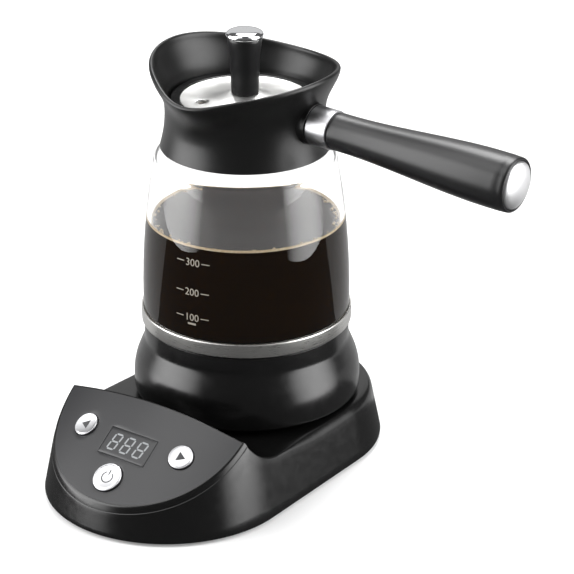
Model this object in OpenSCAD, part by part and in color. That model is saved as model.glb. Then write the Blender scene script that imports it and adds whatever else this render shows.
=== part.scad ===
// Electric turkish coffee maker: a lift-off glass pot on a heated base with a sloped console.
// Millimetres. The pot's axis is Z at x = y = 0 and z = 0 is the table. The console faces -Y,
// the pouring lip points the same way and the handle points to +X.

/* [Base] */
// Radius of the base's two round ends, at the table
base_r = 61; // [58:0.5:66]
// Distance from the pot's axis to the centre of the front end
base_front = 61; // [56:1:70]
// Distance from the pot's axis to the centre of the back end
base_back = 10; // [6:1:16]
// Lean of the side wall from the vertical, in degrees
base_lean = 11.5; // [10:0.5:15]
// Wall of the base shell
base_wall = 2.5; // [2:0.1:3]
// Gap between the shell's lower edge and the table
foot_gap = 1.5; // [1:0.1:2.5]
// Thickness of the bottom plate
plate_t = 2; // [1.6:0.1:3]
// Height of the deck that the pot stands over
deck_z = 28; // [27:0.5:30]
// Height of the raised ring on the deck that carries the pot
seat_h = 1.8; // [1.2:0.1:3]
// Radius of the middle of that ring
seat_r = 42; // [38:0.5:45]

/* [Console] */
// Slope of the console, in degrees
console_slope = 35; // [33:0.5:38]
// Height of the console's ridge on the centre line
ridge_z = 48.7; // [46:0.1:51]
// Distance from the pot's axis to the ridge
ridge_y = 72.5; // [70:0.5:76]
// Radius of the crown across the console
crown_r = 210; // [180:10:400]
// Radius of the hollow that runs from the deck up to the ridge
hollow_r = 25; // [20:1:30]
// Thickness of the control panel
panel_t = 2.2; // [1.6:0.1:3]
// Clearance between the panel's rim and the line of the side wall
panel_inset = 0.2; // [0:0.1:1]
// Width and height of the display window
window = [27, 14]; // [20:0.5:32]
// Place of the display down the slope from the ridge
window_s = 25; // [23:0.5:27]

/* [Buttons] */
// Diameter of the two side buttons
side_button_d = 12; // [9:0.5:14]
// Diameter of the power button
power_button_d = 14.5; // [11:0.5:16]
// Distance of the side buttons' middles from the round side of the base
side_button_inset = 32.7; // [32:0.1:35]
// Place of the side buttons down the slope from the ridge
side_button_s = 21; // [20:0.5:24]
// Place of the power button down the slope from the ridge
power_button_s = 43; // [41:0.5:44]
// Height of a button above the panel
button_proud = 1.1; // [0.9:0.1:2]
// Travel of a button
button_travel = 0.8; // [0.4:0.1:0.8]
// Clearance round a button
button_gap = 0.3; // [0.2:0.05:0.5]

/* [Pot housing] */
// Height of the pot's underside above the table
pot_z = 30.2; // [30.2:0.2:33]
// Largest radius of the pot housing
housing_r = 55.3; // [54.5:0.1:56.5]
// Radius of the housing under the metal ring
housing_top_r = 49.8; // [49:0.1:50.2]
// Height of the upright neck under the metal ring
housing_neck_h = 10.5; // [8:0.5:12]
// Height of the upright foot of the housing, up to its flare
housing_foot_h = 14; // [10:0.5:18]
// Wall of the pot housing
housing_wall = 2.4; // [2:0.1:3]
// Height of the metal ring's lower edge
ring_z = 67.5; // [65:0.5:70]
// Height of the metal ring
ring_h = 7; // [5:0.5:9]

/* [Glass] */
// Outer radius of the glass at its foot
glass_r = 50; // [48:0.5:51]
// Wall of the glass
glass_wall = 2.4; // [1.8:0.1:3]
// Height where the glass starts to draw in
barrel_z = 80; // [76:1:90]
// Radius of the curve along which it draws in
barrel_r = 385; // [340:5:450]
// Height where the shoulder starts
shoulder_z = 148.5; // [144:0.5:150]
// Outer radius of the glass neck inside the collar
neck_r = 34.4; // [33.5:0.1:35]

/* [Collar] */
// Height of the collar's lower edge
collar_z = 156; // [152:0.5:157]
// Outer radius at the collar's lower edge
collar_foot_r = 40.6; // [39.5:0.1:42]
// Outer radius at the collar's waist
waist_r = 38; // [37.8:0.1:39]
// Outer radius at the rim
rim_r = 44.9; // [43:0.1:47]
// Mean height of the rim
rim_z = 195; // [192:0.25:198]
// Half of the height between the rim's high sides and its low front and back
rim_wave = 3.25; // [1:0.25:5]
// Fall of the rim from the side away from the handle to the handle's side, halved
rim_tilt = 1.6; // [0:0.2:3]
// Wall of the collar at the rim
rim_wall = 2.4; // [2:0.1:3]
// Reach of the pouring lip beyond the rim
lip_reach = 3.6; // [1:0.2:6]
// Drop of the rim at the pouring lip
lip_drop = 3.5; // [0:0.25:6]
// Half width of the pouring lip, in degrees round the collar
lip_spread = 16; // [10:1:24]

/* [Lid] */
// Height of the ledge that carries the lid
ledge_z = 174; // [172:0.5:176]
// Rise of the lid's dome above its rim
dome_rise = 2.6; // [1.5:0.1:5]
// Thickness of the lid's sheet
lid_t = 1; // [0.8:0.1:1.2]
// Radius of the steel plate in the lid's rim
lid_plate_r = 30.5; // [27:0.5:31]
// Height of the lid's rim
lid_rim_h = 5.9; // [5.4:0.1:7]
// Clearance round the lid
lid_gap = 0.4; // [0.2:0.1:0.8]
// Diameter of the steam hole
steam_d = 5; // [3:0.5:6]
// Distance of the steam hole from the lid's middle
steam_x = 21; // [16:0.5:24]
// Direction of the steam hole, in degrees round the lid
steam_angle = 228; // [200:2:270]
// Height of the knob's stem above the lid
stem_h = 27.4; // [26:0.2:34]
// Radius of the stem at its foot
stem_r = 6.5; // [5.5:0.1:7]
// Radius of the knob's metal cap
cap_r = 8.9; // [8:0.1:10]
// Height of the knob's metal cap
cap_h = 3.4; // [2.6:0.2:5]

/* [Handle] */
// Height of the handle's axis at the ferrule
handle_z = 174.6; // [172:0.2:176]
// Droop of the handle towards its end, in degrees
handle_droop = 2.5; // [0:0.1:5]
// Distance from the pot's axis to the inner end of the metal ferrule
ferrule_x = 40.6; // [40.2:0.1:42]
// Length of the ferrule
ferrule_len = 11.5; // [9:0.5:15]
// Radius of the ferrule
ferrule_r = 9.4; // [8.5:0.1:10]
// Length of the grip
grip_len = 97; // [80:1:110]
// Radius of the grip where it is thinnest
grip_r = 8.9; // [8:0.1:9.4]
// Radius of the grip where it is thickest
grip_end_r = 13; // [12:0.1:14]
// Radius of the end cap
end_cap_r = 11; // [9.5:0.1:11.5]

/* [Fits] */
// Clearance between pieces that are fixed together
seat_gap = 0.1; // [0.05:0.05:0.15]
// Running clearance between the pot and what it lifts off
lift_gap = 0.7; // [0.5:0.1:1]
// Radius of a screw's shank
screw_r = 1.5; // [1.2:0.1:1.6]
// Radius of the tie rod in the handle
rod_r = 2.5; // [2:0.1:3]

/* [Cord gland] */
// Radius of the hole for the mains cord
cord_r = 3.5; // [3:0.1:4]
// Height of the hole for the mains cord
cord_z = 13; // [12:0.5:15]

/* [Hidden] */
$fn = 96;
fine = 240;
lean_t = tan(base_lean);
reach = 400;

black = "#161616";
grey = "#5c5c5e";
steel = "#c9c9c9";
chrome = "#e4e4e6";
rubber = "#2a2a2a";
board_green = "#1f5c3a";
brass = "#b8963e";
silicone = "#d8d4cc";

// Smooth step from 0 to 1.
function ease(t) = let (c = min(1, max(0, t))) c * c * (3 - 2 * c);
// Mirrors a list end to end.
function flip(list) = [for (i = [len(list) - 1:-1:0]) list[i]];

// ---- Base form ----

// Where the hollow behind the ridge runs out into the deck.
hollow_y = ridge_y - sqrt(pow(hollow_r, 2) - pow(deck_z + hollow_r - ridge_z, 2));
// The shell's side wall, measured level.
level_wall = base_wall / cos(base_lean);
panel_seat = panel_t + seat_gap;
form_top = ridge_z + 4;

// A long body with round ends and leaning sides, drawn in by side.
module leaning_stadium(side, z0, z1) {
    r0 = base_r - side - z0 * lean_t;
    r1 = base_r - side - z1 * lean_t;
    for (y = [base_back, -base_front])
        translate([0, y, z0]) cylinder(r1 = r0, r2 = r1, h = z1 - z0, $fn = fine);
    translate([0, base_back, 0]) rotate([90, 0, 0]) linear_extrude(base_back + base_front)
        polygon([[-r0, z0], [r0, z0], [r1, z1], [-r1, z1]]);
}

// Places its children on the console: x to the right, s down the slope, +Z out of the panel.
module on_console(x = 0, s = 0) {
    translate([0, -ridge_y, ridge_z]) rotate([console_slope, 0, 0]) translate([x, -s, 0]) children();
}

// Everything below the crowned slope, sunk by depth.
module under_crown(depth) {
    on_console() translate([0, 0, -crown_r]) rotate([90, 0, 0])
        cylinder(r = crown_r - depth, h = reach, center = true, $fn = 3 * fine);
}

// What is cut away over the deck and behind the ridge, grown by side.
module over_deck(side) {
    translate([-reach / 2, -hollow_y, deck_z - side]) cube([reach, reach / 2, reach / 4]);
    translate([0, -hollow_y, deck_z + hollow_r]) rotate([0, 90, 0])
        cylinder(r = hollow_r + side, h = reach, center = true, $fn = fine);
}

// The base's outer form: side draws the walls in, top sinks the console.
module base_form(side, top, z0) {
    difference() {
        intersection() {
            leaning_stadium(side / cos(base_lean), z0, form_top);
            under_crown(top);
        }
        over_deck(side);
    }
}

// Boss places under the shell, [x, y], and the feet beside them.
boss_x = 40;
boss_back_y = 22;
boss_front_y = -66;
boss_r = 3.6;
boss_spots = [for (x = [-boss_x, boss_x], y = [boss_back_y, boss_front_y]) [x, y]];
foot_r = 7;
foot_x = 28;
foot_back_y = 42;
foot_front_y = -94;
foot_spots = [for (x = [-foot_x, foot_x], y = [foot_back_y, foot_front_y]) [x, y]];
foot_h = 3;
plate_top = foot_gap + 0.5 + plate_t;

// Button places, [x, s, diameter].
side_button_x = base_r - side_button_inset;
left_spot = [-side_button_x, side_button_s, side_button_d];
right_spot = [side_button_x, side_button_s, side_button_d];
power_spot = [0, power_button_s, power_button_d];
button_spots = [left_spot, right_spot, power_spot];
// Fall of the crown below the centre line at a sideways distance x.
function crown_fall(x) = crown_r - sqrt(crown_r * crown_r - x * x);

// The circuit board lies parallel to the slope.
board_t = 1.6;
board_z = -12.5;
// Room beside the board for the leaning wall and its posts.
board_side = 27;
board_w = 2 * (base_r - board_side);
board_h = 38;
board_s = 28.5;
board_post_x = board_w / 2 - 2;
board_posts = [for (x = [-board_post_x, board_post_x], s = [14, 40]) [x, s]];
post_r = 2.6;
board_screw_r = 1;
board_screw_len = 6;
switch_w = 6;
switch_h = 3.5;
stem_button_r = 2.5;
button_skirt = panel_t - button_travel - 0.1;
led_size = [22.5, 14];
socket_w = led_size[0] + 1;
socket_h = led_size[1] + 1;

// Base connector in the middle of the deck.
connector_r = 17;
connector_step_r = 9;
connector_z = pot_z + 1.5;
connector_top = pot_z + 7;
connector_flange = 3;

// Cord gland through the back wall.
gland_r = 5.2;
gland_flange_r = 7;
gland_flange = 1.5;
gland_low = cord_z - gland_flange_r;
gland_high = cord_z + gland_flange_r;
gland_out = base_back + base_r - gland_low * lean_t;
gland_in = base_back + base_r - gland_high * lean_t - level_wall - 1.5;

module base_shell() {
    color(black) {
        difference() {
            union() {
                difference() {
                    base_form(0, panel_seat, foot_gap);
                    base_form(base_wall, panel_seat + base_wall, -1);
                }
                intersection() {
                    base_form(1, panel_seat + 1, foot_gap);
                    union() {
                        for (p = boss_spots) translate([p[0], p[1], plate_top + seat_gap])
                            cylinder(r = boss_r, h = reach / 4);
                        for (p = board_posts) on_console(p[0], p[1])
                            translate([0, 0, board_z + board_t + seat_gap])
                                cylinder(r = post_r, h = -board_z);
                    }
                }
                translate([0, 0, deck_z - 0.5]) difference() {
                    cylinder(r = seat_r + 1.5, h = seat_h + 0.5);
                    translate([0, 0, -1]) cylinder(r = seat_r - 1.5, h = seat_h + 3);
                }
            }
            // way for the connector
            translate([0, 0, deck_z - base_wall - 1]) cylinder(r = connector_r + seat_gap, h = base_wall + 3);
            // pilot holes
            for (p = boss_spots) translate([p[0], p[1], 0]) cylinder(r = screw_r + seat_gap, h = 14);
            for (p = board_posts) on_console(p[0], p[1])
                translate([0, 0, board_z]) cylinder(r = board_screw_r + seat_gap, h = board_screw_len + 0.5);
            // ways for the button stems and the display
            for (b = button_spots) on_console(b[0], b[1])
                translate([0, 0, -panel_seat - 6]) cylinder(r = stem_button_r + button_gap, h = 10);
            on_console(0, window_s) translate([-socket_w / 2, -socket_h / 2, -panel_seat - 6])
                cube([socket_w, socket_h, 10]);
            // way for the cord gland
            translate([0, base_back, cord_z]) rotate([-90, 0, 0]) cylinder(r = gland_r + seat_gap, h = reach / 4);
        }
    }
}

module base_plate() {
    z0 = foot_gap + 0.5;
    color(black) difference() {
        union() {
            leaning_stadium(level_wall + 0.3, z0, plate_top);
            for (p = power_posts) translate([p[0], p[1], z0]) cylinder(r = post_r, h = power_z - z0 - seat_gap);
        }
        for (p = foot_spots) translate([p[0], p[1], 0]) cylinder(r = foot_r + seat_gap, h = foot_h + seat_gap);
        for (p = boss_spots) translate([p[0], p[1], 0]) cylinder(r = screw_r + 0.3, h = 9);
        for (p = boss_spots) translate([p[0], p[1], 0]) cylinder(r = 2 * screw_r + 0.3, h = z0 + 1);
        for (x = [-18:6:18]) translate([x - 1, 8, 0]) cube([2, 24, plate_top + 1]);
    }
}

module rubber_feet() {
    color(rubber) for (p = foot_spots) translate([p[0], p[1], 0]) rotate_extrude()
        polygon([[0, 0], [foot_r - 1.2, 0], [foot_r - 0.5, 0.4], [foot_r, 1.4], [foot_r, foot_h], [0, foot_h]]);
}

module base_screws() {
    z0 = foot_gap + 0.5;
    color(steel) for (p = boss_spots) translate([p[0], p[1], z0]) difference() {
        union() {
            translate([0, 0, -0.6]) cylinder(r = 2 * screw_r, h = 1.6 - seat_gap);
            cylinder(r = screw_r, h = 11);
        }
        translate([0, 0, -1]) for (a = [0, 90]) rotate(a)
            translate([-1.6, -0.35, 0]) cube([3.2, 0.7, 1.2]);
    }
}

module cord_gland() {
    color(rubber) translate([0, 0, cord_z]) rotate([-90, 0, 0]) difference() {
        union() {
            translate([0, 0, gland_in]) cylinder(r = gland_r, h = gland_out - gland_in + seat_gap);
            translate([0, 0, gland_in]) cylinder(r = gland_flange_r, h = gland_flange);
            translate([0, 0, gland_out]) cylinder(r = gland_flange_r, h = gland_flange);
        }
        translate([0, 0, gland_in - 1]) cylinder(r = cord_r, h = gland_out - gland_in + gland_flange + 2);
    }
}

// ---- Console pieces ----

module control_panel() {
    color(grey) difference() {
        intersection() {
            leaning_stadium(panel_inset, foot_gap, form_top);
            under_crown(0);
        }
        under_crown(panel_t);
        over_deck(0);
        for (b = button_spots) on_console(b[0], b[1]) translate([0, 0, -panel_t - 3])
            cylinder(r = b[2] / 2 + button_gap, h = panel_t + 6);
        on_console(0, window_s) translate([-window[0] / 2 - seat_gap, -window[1] / 2 - seat_gap, -panel_t - 3])
            cube([window[0] + 2 * seat_gap, window[1] + 2 * seat_gap, panel_t + 6]);
    }
}

// A smoked pane that continues the panel's crown.
module display_window() {
    color("#3c3c40") difference() {
        intersection() {
            on_console(0, window_s) translate([-window[0] / 2, -window[1] / 2, -panel_t - 2])
                cube([window[0], window[1], panel_t + 4]);
            under_crown(0);
        }
        under_crown(panel_t);
    }
}

led_top = -panel_seat - crown_fall(window[0] / 2) - 0.3;
led_d = led_top - board_z - board_t - seat_gap;

module led_display() {
    color("#202020") on_console(0, window_s) difference() {
        translate([-led_size[0] / 2, -led_size[1] / 2, led_top - led_d]) cube([led_size[0], led_size[1], led_d]);
        for (i = [-1:1]) translate([i * 7.4, 0, led_top - 0.3]) digit_recess();
    }
    color(steel) on_console(0, window_s) for (x = [-8:4:8], y = [-5, 5])
        translate([x, y, board_z - 1]) cylinder(r = 0.3, h = board_t + seat_gap + 1.2);
}

// Recess of one seven-segment digit in the display's face.
module digit_recess() {
    seg = 3.6;
    for (y = [-4, 0, 4]) translate([-seg / 2, y - 0.4, 0]) cube([seg, 0.8, 1]);
    for (x = [-2.2, 2.2], y = [-2, 2]) translate([x - 0.4, y - 1.5, 0]) cube([0.8, 3, 1]);
}

module control_board() {
    color(board_green) on_console(0, board_s) translate([0, 0, board_z]) difference() {
        translate([-board_w / 2, -board_h / 2, 0]) cube([board_w, board_h, board_t]);
        for (p = board_posts) translate([p[0], board_s - p[1], -1])
            cylinder(r = board_screw_r + 0.2, h = board_t + 2);
        for (x = [-8:4:8], y = [-5, 5]) translate([x, board_s - window_s + y, -1])
            cylinder(r = 0.3 + seat_gap, h = board_t + 2);
    }
}

module board_screws() {
    color(steel) for (p = board_posts) on_console(p[0], p[1]) {
        translate([0, 0, board_z - 1.2 - seat_gap]) cylinder(r = 2, h = 1.2);
        translate([0, 0, board_z - 0.6]) cylinder(r = board_screw_r, h = board_screw_len);
    }
}

module tact_switches() {
    for (b = button_spots) on_console(b[0], b[1]) translate([0, 0, board_z + board_t + seat_gap]) {
        color("#303030") translate([-switch_w / 2, -switch_w / 2, 0]) cube([switch_w, switch_w, switch_h]);
        color(brass) translate([0, 0, switch_h - 0.5]) cylinder(r = 1.7, h = 0.8);
    }
}

// Top of a switch's plunger, where a button's stem ends with its travel to spare.
plunger_z = board_z + board_t + seat_gap + switch_h + 0.3;

// A dished metal cap on a stem, in the place b. The cap lies in line with the crown, and moves along the slope's normal.
module button(b) {
    r = b[2] / 2;
    fall = crown_fall(b[0]);
    on_console(b[0], b[1]) color(chrome) {
        translate([0, 0, -fall]) rotate([0, asin(b[0] / crown_r), 0]) rotate_extrude() polygon(concat(
            [[0, -button_skirt], [r, -button_skirt], [r, button_proud - 0.7], [r - 0.2, button_proud - 0.2],
             [r - 0.7, button_proud]],
            [for (i = [4:-1:0]) let (x = (r - 0.9) * i / 4) [x, button_proud - 0.35 * (1 - pow(i / 4, 2))]]));
        translate([0, 0, plunger_z + button_travel + 0.1])
            cylinder(r = stem_button_r, h = -fall - 0.5 - plunger_z - button_travel - 0.1);
    }
}
module left_button() { button(left_spot); }
module right_button() { button(right_spot); }
module power_button() { button(power_spot); }

// ---- Power electronics ----

power_z = 8;
power_w = 58;
power_d = 34;
power_y = -42;
power_posts = [for (x = [-25, 25], y = [power_y - 13, power_y + 13]) [x, y]];

module power_board() {
    color(board_green) difference() {
        translate([-power_w / 2, power_y - power_d / 2, power_z]) cube([power_w, power_d, board_t]);
        for (p = power_posts) translate([p[0], p[1], 0]) cylinder(r = 1, h = power_z + 4);
    }
}

module relay() {
    color("#2b4a78") translate([6, power_y - 8, power_z + board_t + seat_gap]) cube([15, 18, 13]);
}

module transformer() {
    color("#c7a52c") translate([-22, power_y - 9, power_z + board_t + seat_gap]) {
        cube([20, 16, 5]);
        translate([3, 1, 5]) cube([14, 14, 9]);
    }
}

// ---- Connector ----

module base_connector() {
    z0 = deck_z - base_wall - connector_flange - seat_gap;
    color(black) difference() {
        rotate_extrude() polygon([[0, z0], [connector_r + 4, z0], [connector_r + 4, z0 + connector_flange],
            [connector_r, z0 + connector_flange], [connector_r, connector_z - 1], [connector_r - 1, connector_z],
            [connector_step_r, connector_z], [connector_step_r, connector_top - 1],
            [connector_step_r - 1, connector_top], [0, connector_top]]);
        translate([0, 0, connector_top - 5]) cylinder(r = 3, h = 6);
        ring_groove(6.2, connector_top - 4);
        ring_groove(13, connector_z - 3);
    }
}

// An open ring groove of 1.6 width, cut upwards from z.
module ring_groove(r, z) {
    translate([0, 0, z]) difference() {
        cylinder(r = r + 0.8, h = 10);
        translate([0, 0, -1]) cylinder(r = r - 0.8, h = 12);
    }
}

module contact_rings() {
    color(brass) {
        contact_ring(6.2, connector_top - 4, 2.6);
        contact_ring(13, connector_z - 3, 1.8);
        translate([0, 0, connector_top - 5 + seat_gap]) cylinder(r = 1.5, h = 3.4);
    }
}

// One brass ring that stands in its groove.
module contact_ring(r, z, h) {
    translate([0, 0, z + seat_gap]) difference() {
        cylinder(r = r + 0.4, h = h);
        translate([0, 0, -1]) cylinder(r = r - 0.4, h = h + 2);
    }
}

module pot_connector() {
    roof = connector_top + lift_gap;
    step = connector_z + lift_gap;
    color(black) rotate_extrude() polygon([
        [0, roof], [connector_step_r + lift_gap, roof], [connector_step_r + lift_gap, step],
        [connector_r + lift_gap, step], [connector_r + lift_gap, pot_z + 0.3],
        [connector_r + 2.2, pot_z + 0.3], [connector_r + 2.2, underplate_top + seat_gap],
        [connector_r + 5, underplate_top + seat_gap], [connector_r + 5, underplate_top + 2.2],
        [connector_r + 2.2, underplate_top + 2.2], [connector_r + 2.2, step + 3],
        [connector_step_r + 3.2, step + 3], [connector_step_r + 3.2, roof + 2.5], [0, roof + 2.5]]);
}

// ---- Pot housing ----

underplate_t = 2;
underplate_top = pot_z + underplate_t;
underplate_r = 46;
crease_z = ring_z - housing_neck_h;
swell_z = pot_z + housing_foot_h;
under_round = 4;

// Outer line of the housing: rounded under, upright foot, flare, then an upright neck to the metal ring.
housing_line = concat(
    [for (i = [0:6]) let (a = 90 * i / 6)
        [housing_r - under_round * (1 - sin(a)), pot_z + under_round * (1 - cos(a))]],
    [[housing_r, swell_z - 1], [housing_r - 0.1, swell_z + 0.2], [housing_r - 0.5, swell_z + 2],
     [housing_r - 1.3, swell_z + 4.2], [housing_top_r + 0.8, crease_z - 0.8], [housing_top_r + 0.25, crease_z + 0.2],
     [housing_top_r, crease_z + 1.2], [housing_top_r, ring_z - 0.6]]);

module pot_housing() {
    flange_z = ring_z - 0.6;
    lip_r = underplate_r - 1.2;
    color(black) difference() {
        union() {
            rotate_extrude() polygon(concat([[underplate_r + 0.3, pot_z]], housing_line,
                    [[ring_shelf_r, flange_z], [ring_shelf_r, flange_z - housing_wall],
                     [housing_top_r - housing_wall, flange_z - housing_wall],
                     [housing_top_r - housing_wall, crease_z], [housing_r - housing_wall, swell_z - 1],
                     [housing_r - housing_wall, pot_z + 5], [housing_r - housing_wall - 2, underplate_top + 1.2],
                     [lip_r, underplate_top + seat_gap + 1.2], [lip_r, underplate_top + seat_gap],
                     [underplate_r + 0.3, underplate_top + seat_gap]]));
            for (a = pot_boss_angles) rotate(a) translate([pot_boss_x, 0, underplate_top + 0.6])
                cylinder(r = 3, h = flange_z - 1.5 - underplate_top);
        }
        for (a = pot_boss_angles) rotate(a) translate([pot_boss_x, 0, pot_z]) cylinder(r = screw_r + seat_gap, h = 14);
    }
}

pot_boss_angles = [30, 150, 270];
pot_boss_x = 43;
ring_shelf_r = 43.5;

module pot_underplate() {
    color(black) difference() {
        translate([0, 0, pot_z]) cylinder(r = underplate_r, h = underplate_t, $fn = fine);
        translate([0, 0, pot_z - 1]) cylinder(r = connector_r + 2.2 + seat_gap, h = underplate_t + 2);
        for (a = pot_boss_angles) rotate(a) translate([pot_boss_x, 0, pot_z - 1]) {
            cylinder(r = screw_r + 0.2, h = underplate_t + 2);
            cylinder(r = 2 * screw_r + 0.2, h = 2);
        }
    }
}

module pot_screws() {
    color(steel) for (a = pot_boss_angles) rotate(a) translate([pot_boss_x, 0, pot_z + 0.1]) {
        cylinder(r = 2 * screw_r - 0.2, h = 0.9 - seat_gap);
        cylinder(r = screw_r, h = 11);
    }
}

// ---- Heater under the glass ----

plate_z = ring_z + 2.4;
plate_r = glass_r - glass_wall - 1.3;
block_r = 36;
block_h = 5;
block_hole_r = 9;
tube_ring_r = 27;
tube_r = 3.2;

module heating_plate() {
    color(steel) rotate_extrude() polygon([[0, plate_z], [plate_r, plate_z], [plate_r, plate_z + 4],
        [plate_r - 0.8, plate_z + 4], [plate_r - 0.8, plate_z + 2.4], [plate_r - 2, plate_z + 1.2],
        [0, plate_z + 1.2]]);
}

module heating_element() {
    color(steel) {
        translate([0, 0, plate_z - block_h]) difference() {
            cylinder(r = block_r, h = block_h - seat_gap);
            translate([0, 0, -1]) cylinder(r = block_hole_r, h = block_h + 2);
        }
        translate([0, 0, plate_z - block_h - 1]) rotate(20) rotate_extrude(angle = 320) translate([tube_ring_r, 0]) circle(r = tube_r);
        for (a = [20, 340]) rotate(a) translate([tube_ring_r, 0, plate_z - 20])
            cylinder(r = tube_r / 2, h = 14);
    }
}

module temperature_sensor() {
    color(brass) translate([0, 0, plate_z - 12]) {
        cylinder(r = 4, h = 12 - seat_gap);
        cylinder(r = 7.5, h = 2);
    }
}

module plate_gasket() {
    foot_z = ring_z + 1.1;
    inner = plate_r + seat_gap;
    color(silicone) rotate_extrude() polygon([[inner, foot_z], [glass_r - 0.2, foot_z],
        [glass_r - 0.2, glass_z - seat_gap], [glass_r - glass_wall - seat_gap, glass_z - seat_gap],
        [glass_r - glass_wall - seat_gap, plate_z + 4], [inner, plate_z + 4]]);
}

module metal_ring() {
    outer = glass_r + 1;
    color(steel) rotate_extrude() polygon([[ring_shelf_r + 0.5, ring_z], [outer - 0.5, ring_z],
        [outer, ring_z + 0.5], [outer, ring_z + ring_h - 1.2], [outer - 0.7, ring_z + ring_h],
        [glass_r + seat_gap, ring_z + ring_h], [glass_r + seat_gap, ring_z + 1],
        [ring_shelf_r + 0.5, ring_z + 1]]);
}

// ---- Glass ----

glass_z = ring_z + 2.4;
shoulder_top = collar_z;
neck_top = ledge_z - 4.6;
// Outer radius of the glass at height z, below the shoulder.
function glass_at(z) = z < barrel_z ? glass_r : glass_r - barrel_r + sqrt(pow(barrel_r, 2) - pow(z - barrel_z, 2));
// A side of the glass from its foot to its neck, drawn in by d.
function glass_side(d) = concat([[glass_r - d, glass_z]],
    [for (i = [0:12]) let (z = barrel_z + (shoulder_z - barrel_z) * i / 12) [glass_at(z) - d, z]],
    [for (i = [1:8]) let (a = 90 * i / 8)
        [neck_r - d + (glass_at(shoulder_z) - neck_r) * cos(a), shoulder_z + (shoulder_top - shoulder_z - d) * sin(a)]],
    [[neck_r - d, neck_top]]);

module glass_body() {
    color("#dfe8ea", 0.35) rotate_extrude($fn = fine)
        polygon(concat(glass_side(0), flip(glass_side(glass_wall))));
}

// ---- Collar: a lofted pouring ring with a waved rim ----

gasket_t = 1.1;
pocket_r = neck_r + gasket_t + seat_gap;
around = 60;
waist_t = 0.42;
lip_angle = 270;
// Share of the pouring lip at angle a, 1 in its middle.
function lip_share(a) = exp(-pow((a - lip_angle) / lip_spread, 2) / 2);
// Height of the rim at angle a.
function rim_at(a) = rim_z + rim_wave * cos(2 * a) - rim_tilt * cos(a) - lip_drop * lip_share(a);
// Outer radius at a share t of the height, at angle a.
function collar_at(t, a) = (t < waist_t
    ? waist_r + (collar_foot_r - waist_r) * pow(1 - t / waist_t, 2)
    : waist_r + (rim_r - waist_r) * ease(pow((t - waist_t) / (1 - waist_t), 1.35)))
    + lip_reach * lip_share(a) * pow(max(0, (t - 0.3) / 0.7), 1.6);
// A point at radius r, angle a and height z.
function polar(r, a, z) = [r * cos(a), r * sin(a), z];
// One upright section of the collar at angle a: up the outside, over the rim, down the inside.
function collar_section(a) = let (top = rim_at(a), lid_pocket_top = ledge_z + lid_rim_h + 0.6) concat(
    [for (i = [0:11]) let (t = i / 11) polar(collar_at(t, a) - (i == 11 ? 0.25 : 0), a,
        collar_z + (top - collar_z) * t)],
    [polar(collar_at(1, a) - rim_wall / 2, a, top + 0.6), polar(collar_at(1, a) - rim_wall, a, top - 0.1)],
    [for (i = [1:4]) let (z = top + (lid_pocket_top - top) * i / 4, t = (z - collar_z) / (top - collar_z))
        polar(max(pocket_r, collar_at(t, a) - rim_wall), a, z)],
    [polar(pocket_r, a, ledge_z), polar(neck_r - 1.4, a, ledge_z), polar(neck_r - 1.4, a, ledge_z - 4.4),
     polar(pocket_r, a, ledge_z - 4.4), polar(pocket_r, a, collar_z)]);

module collar() {
    sections = [for (i = [0:around - 1]) collar_section(360 * i / around)];
    n = len(sections[0]);
    faces = [for (i = [0:around - 1], j = [0:n - 1])
        let (a = i * n + j, b = i * n + (j + 1) % n, c = ((i + 1) % around) * n + (j + 1) % n,
             d = ((i + 1) % around) * n + j)
        each [[a, b, c], [a, c, d]]];
    color(black) difference() {
        union() {
            polyhedron([for (s = sections) each s], faces, convexity = 8);
            intersection() {
                on_handle() translate([0, 0, -20]) cylinder(r = ferrule_r + 0.4, h = 20);
                translate([0, 0, collar_z]) difference() {
                    cylinder(r = reach, h = 60);
                    translate([0, 0, -1]) cylinder(r = waist_r - 1, h = 62);
                }
            }
        }
        on_handle() translate([0, 0, rod_start - 0.2]) cylinder(r = rod_r + seat_gap, h = 20);
    }
}

module collar_gasket() {
    color(silicone) translate([0, 0, collar_z + 1]) difference() {
        cylinder(r = neck_r + gasket_t, h = neck_top - collar_z - 1, $fn = fine);
        translate([0, 0, -1]) cylinder(r = neck_r + seat_gap / 2, h = neck_top - collar_z + 2, $fn = fine);
    }
}

// ---- Handle ----

grip_x = ferrule_len + seat_gap;
grip_end = grip_x + grip_len;
head_x = grip_end - 7;
head_len = 3;
head_r = 2 * rod_r;
head_bore_r = head_r + 1;
// The rod starts inside the collar's boss.
rod_start = waist_r - ferrule_x - 1.2;
// Places its children on the handle: the origin at the ferrule's inner end, +Z along the handle.
module on_handle() {
    translate([ferrule_x, 0, handle_z]) rotate([0, 90 + handle_droop, 0]) children();
}
// Turns a profile of [distance along the handle, radius] into a body round the handle's axis.
module round_handle(profile) {
    on_handle() rotate_extrude() polygon([for (p = profile) [p[1], p[0]]]);
}

module handle_ferrule() {
    x0 = seat_gap;
    x1 = ferrule_len;
    hole = rod_r + seat_gap;
    color(steel) round_handle([[x0, hole], [x0, ferrule_r - 0.5], [x0 + 0.5, ferrule_r],
        [x1 - 0.4, ferrule_r], [x1, ferrule_r - 0.4], [x1, hole]]);
}

// Swelling of the grip at a share t of its length.
function grip_at(t) = grip_r + (grip_end_r - grip_r) * (ease(t * 1.2 - 0.06) - 0.35 * pow(max(0, t - 0.82), 2));

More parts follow.
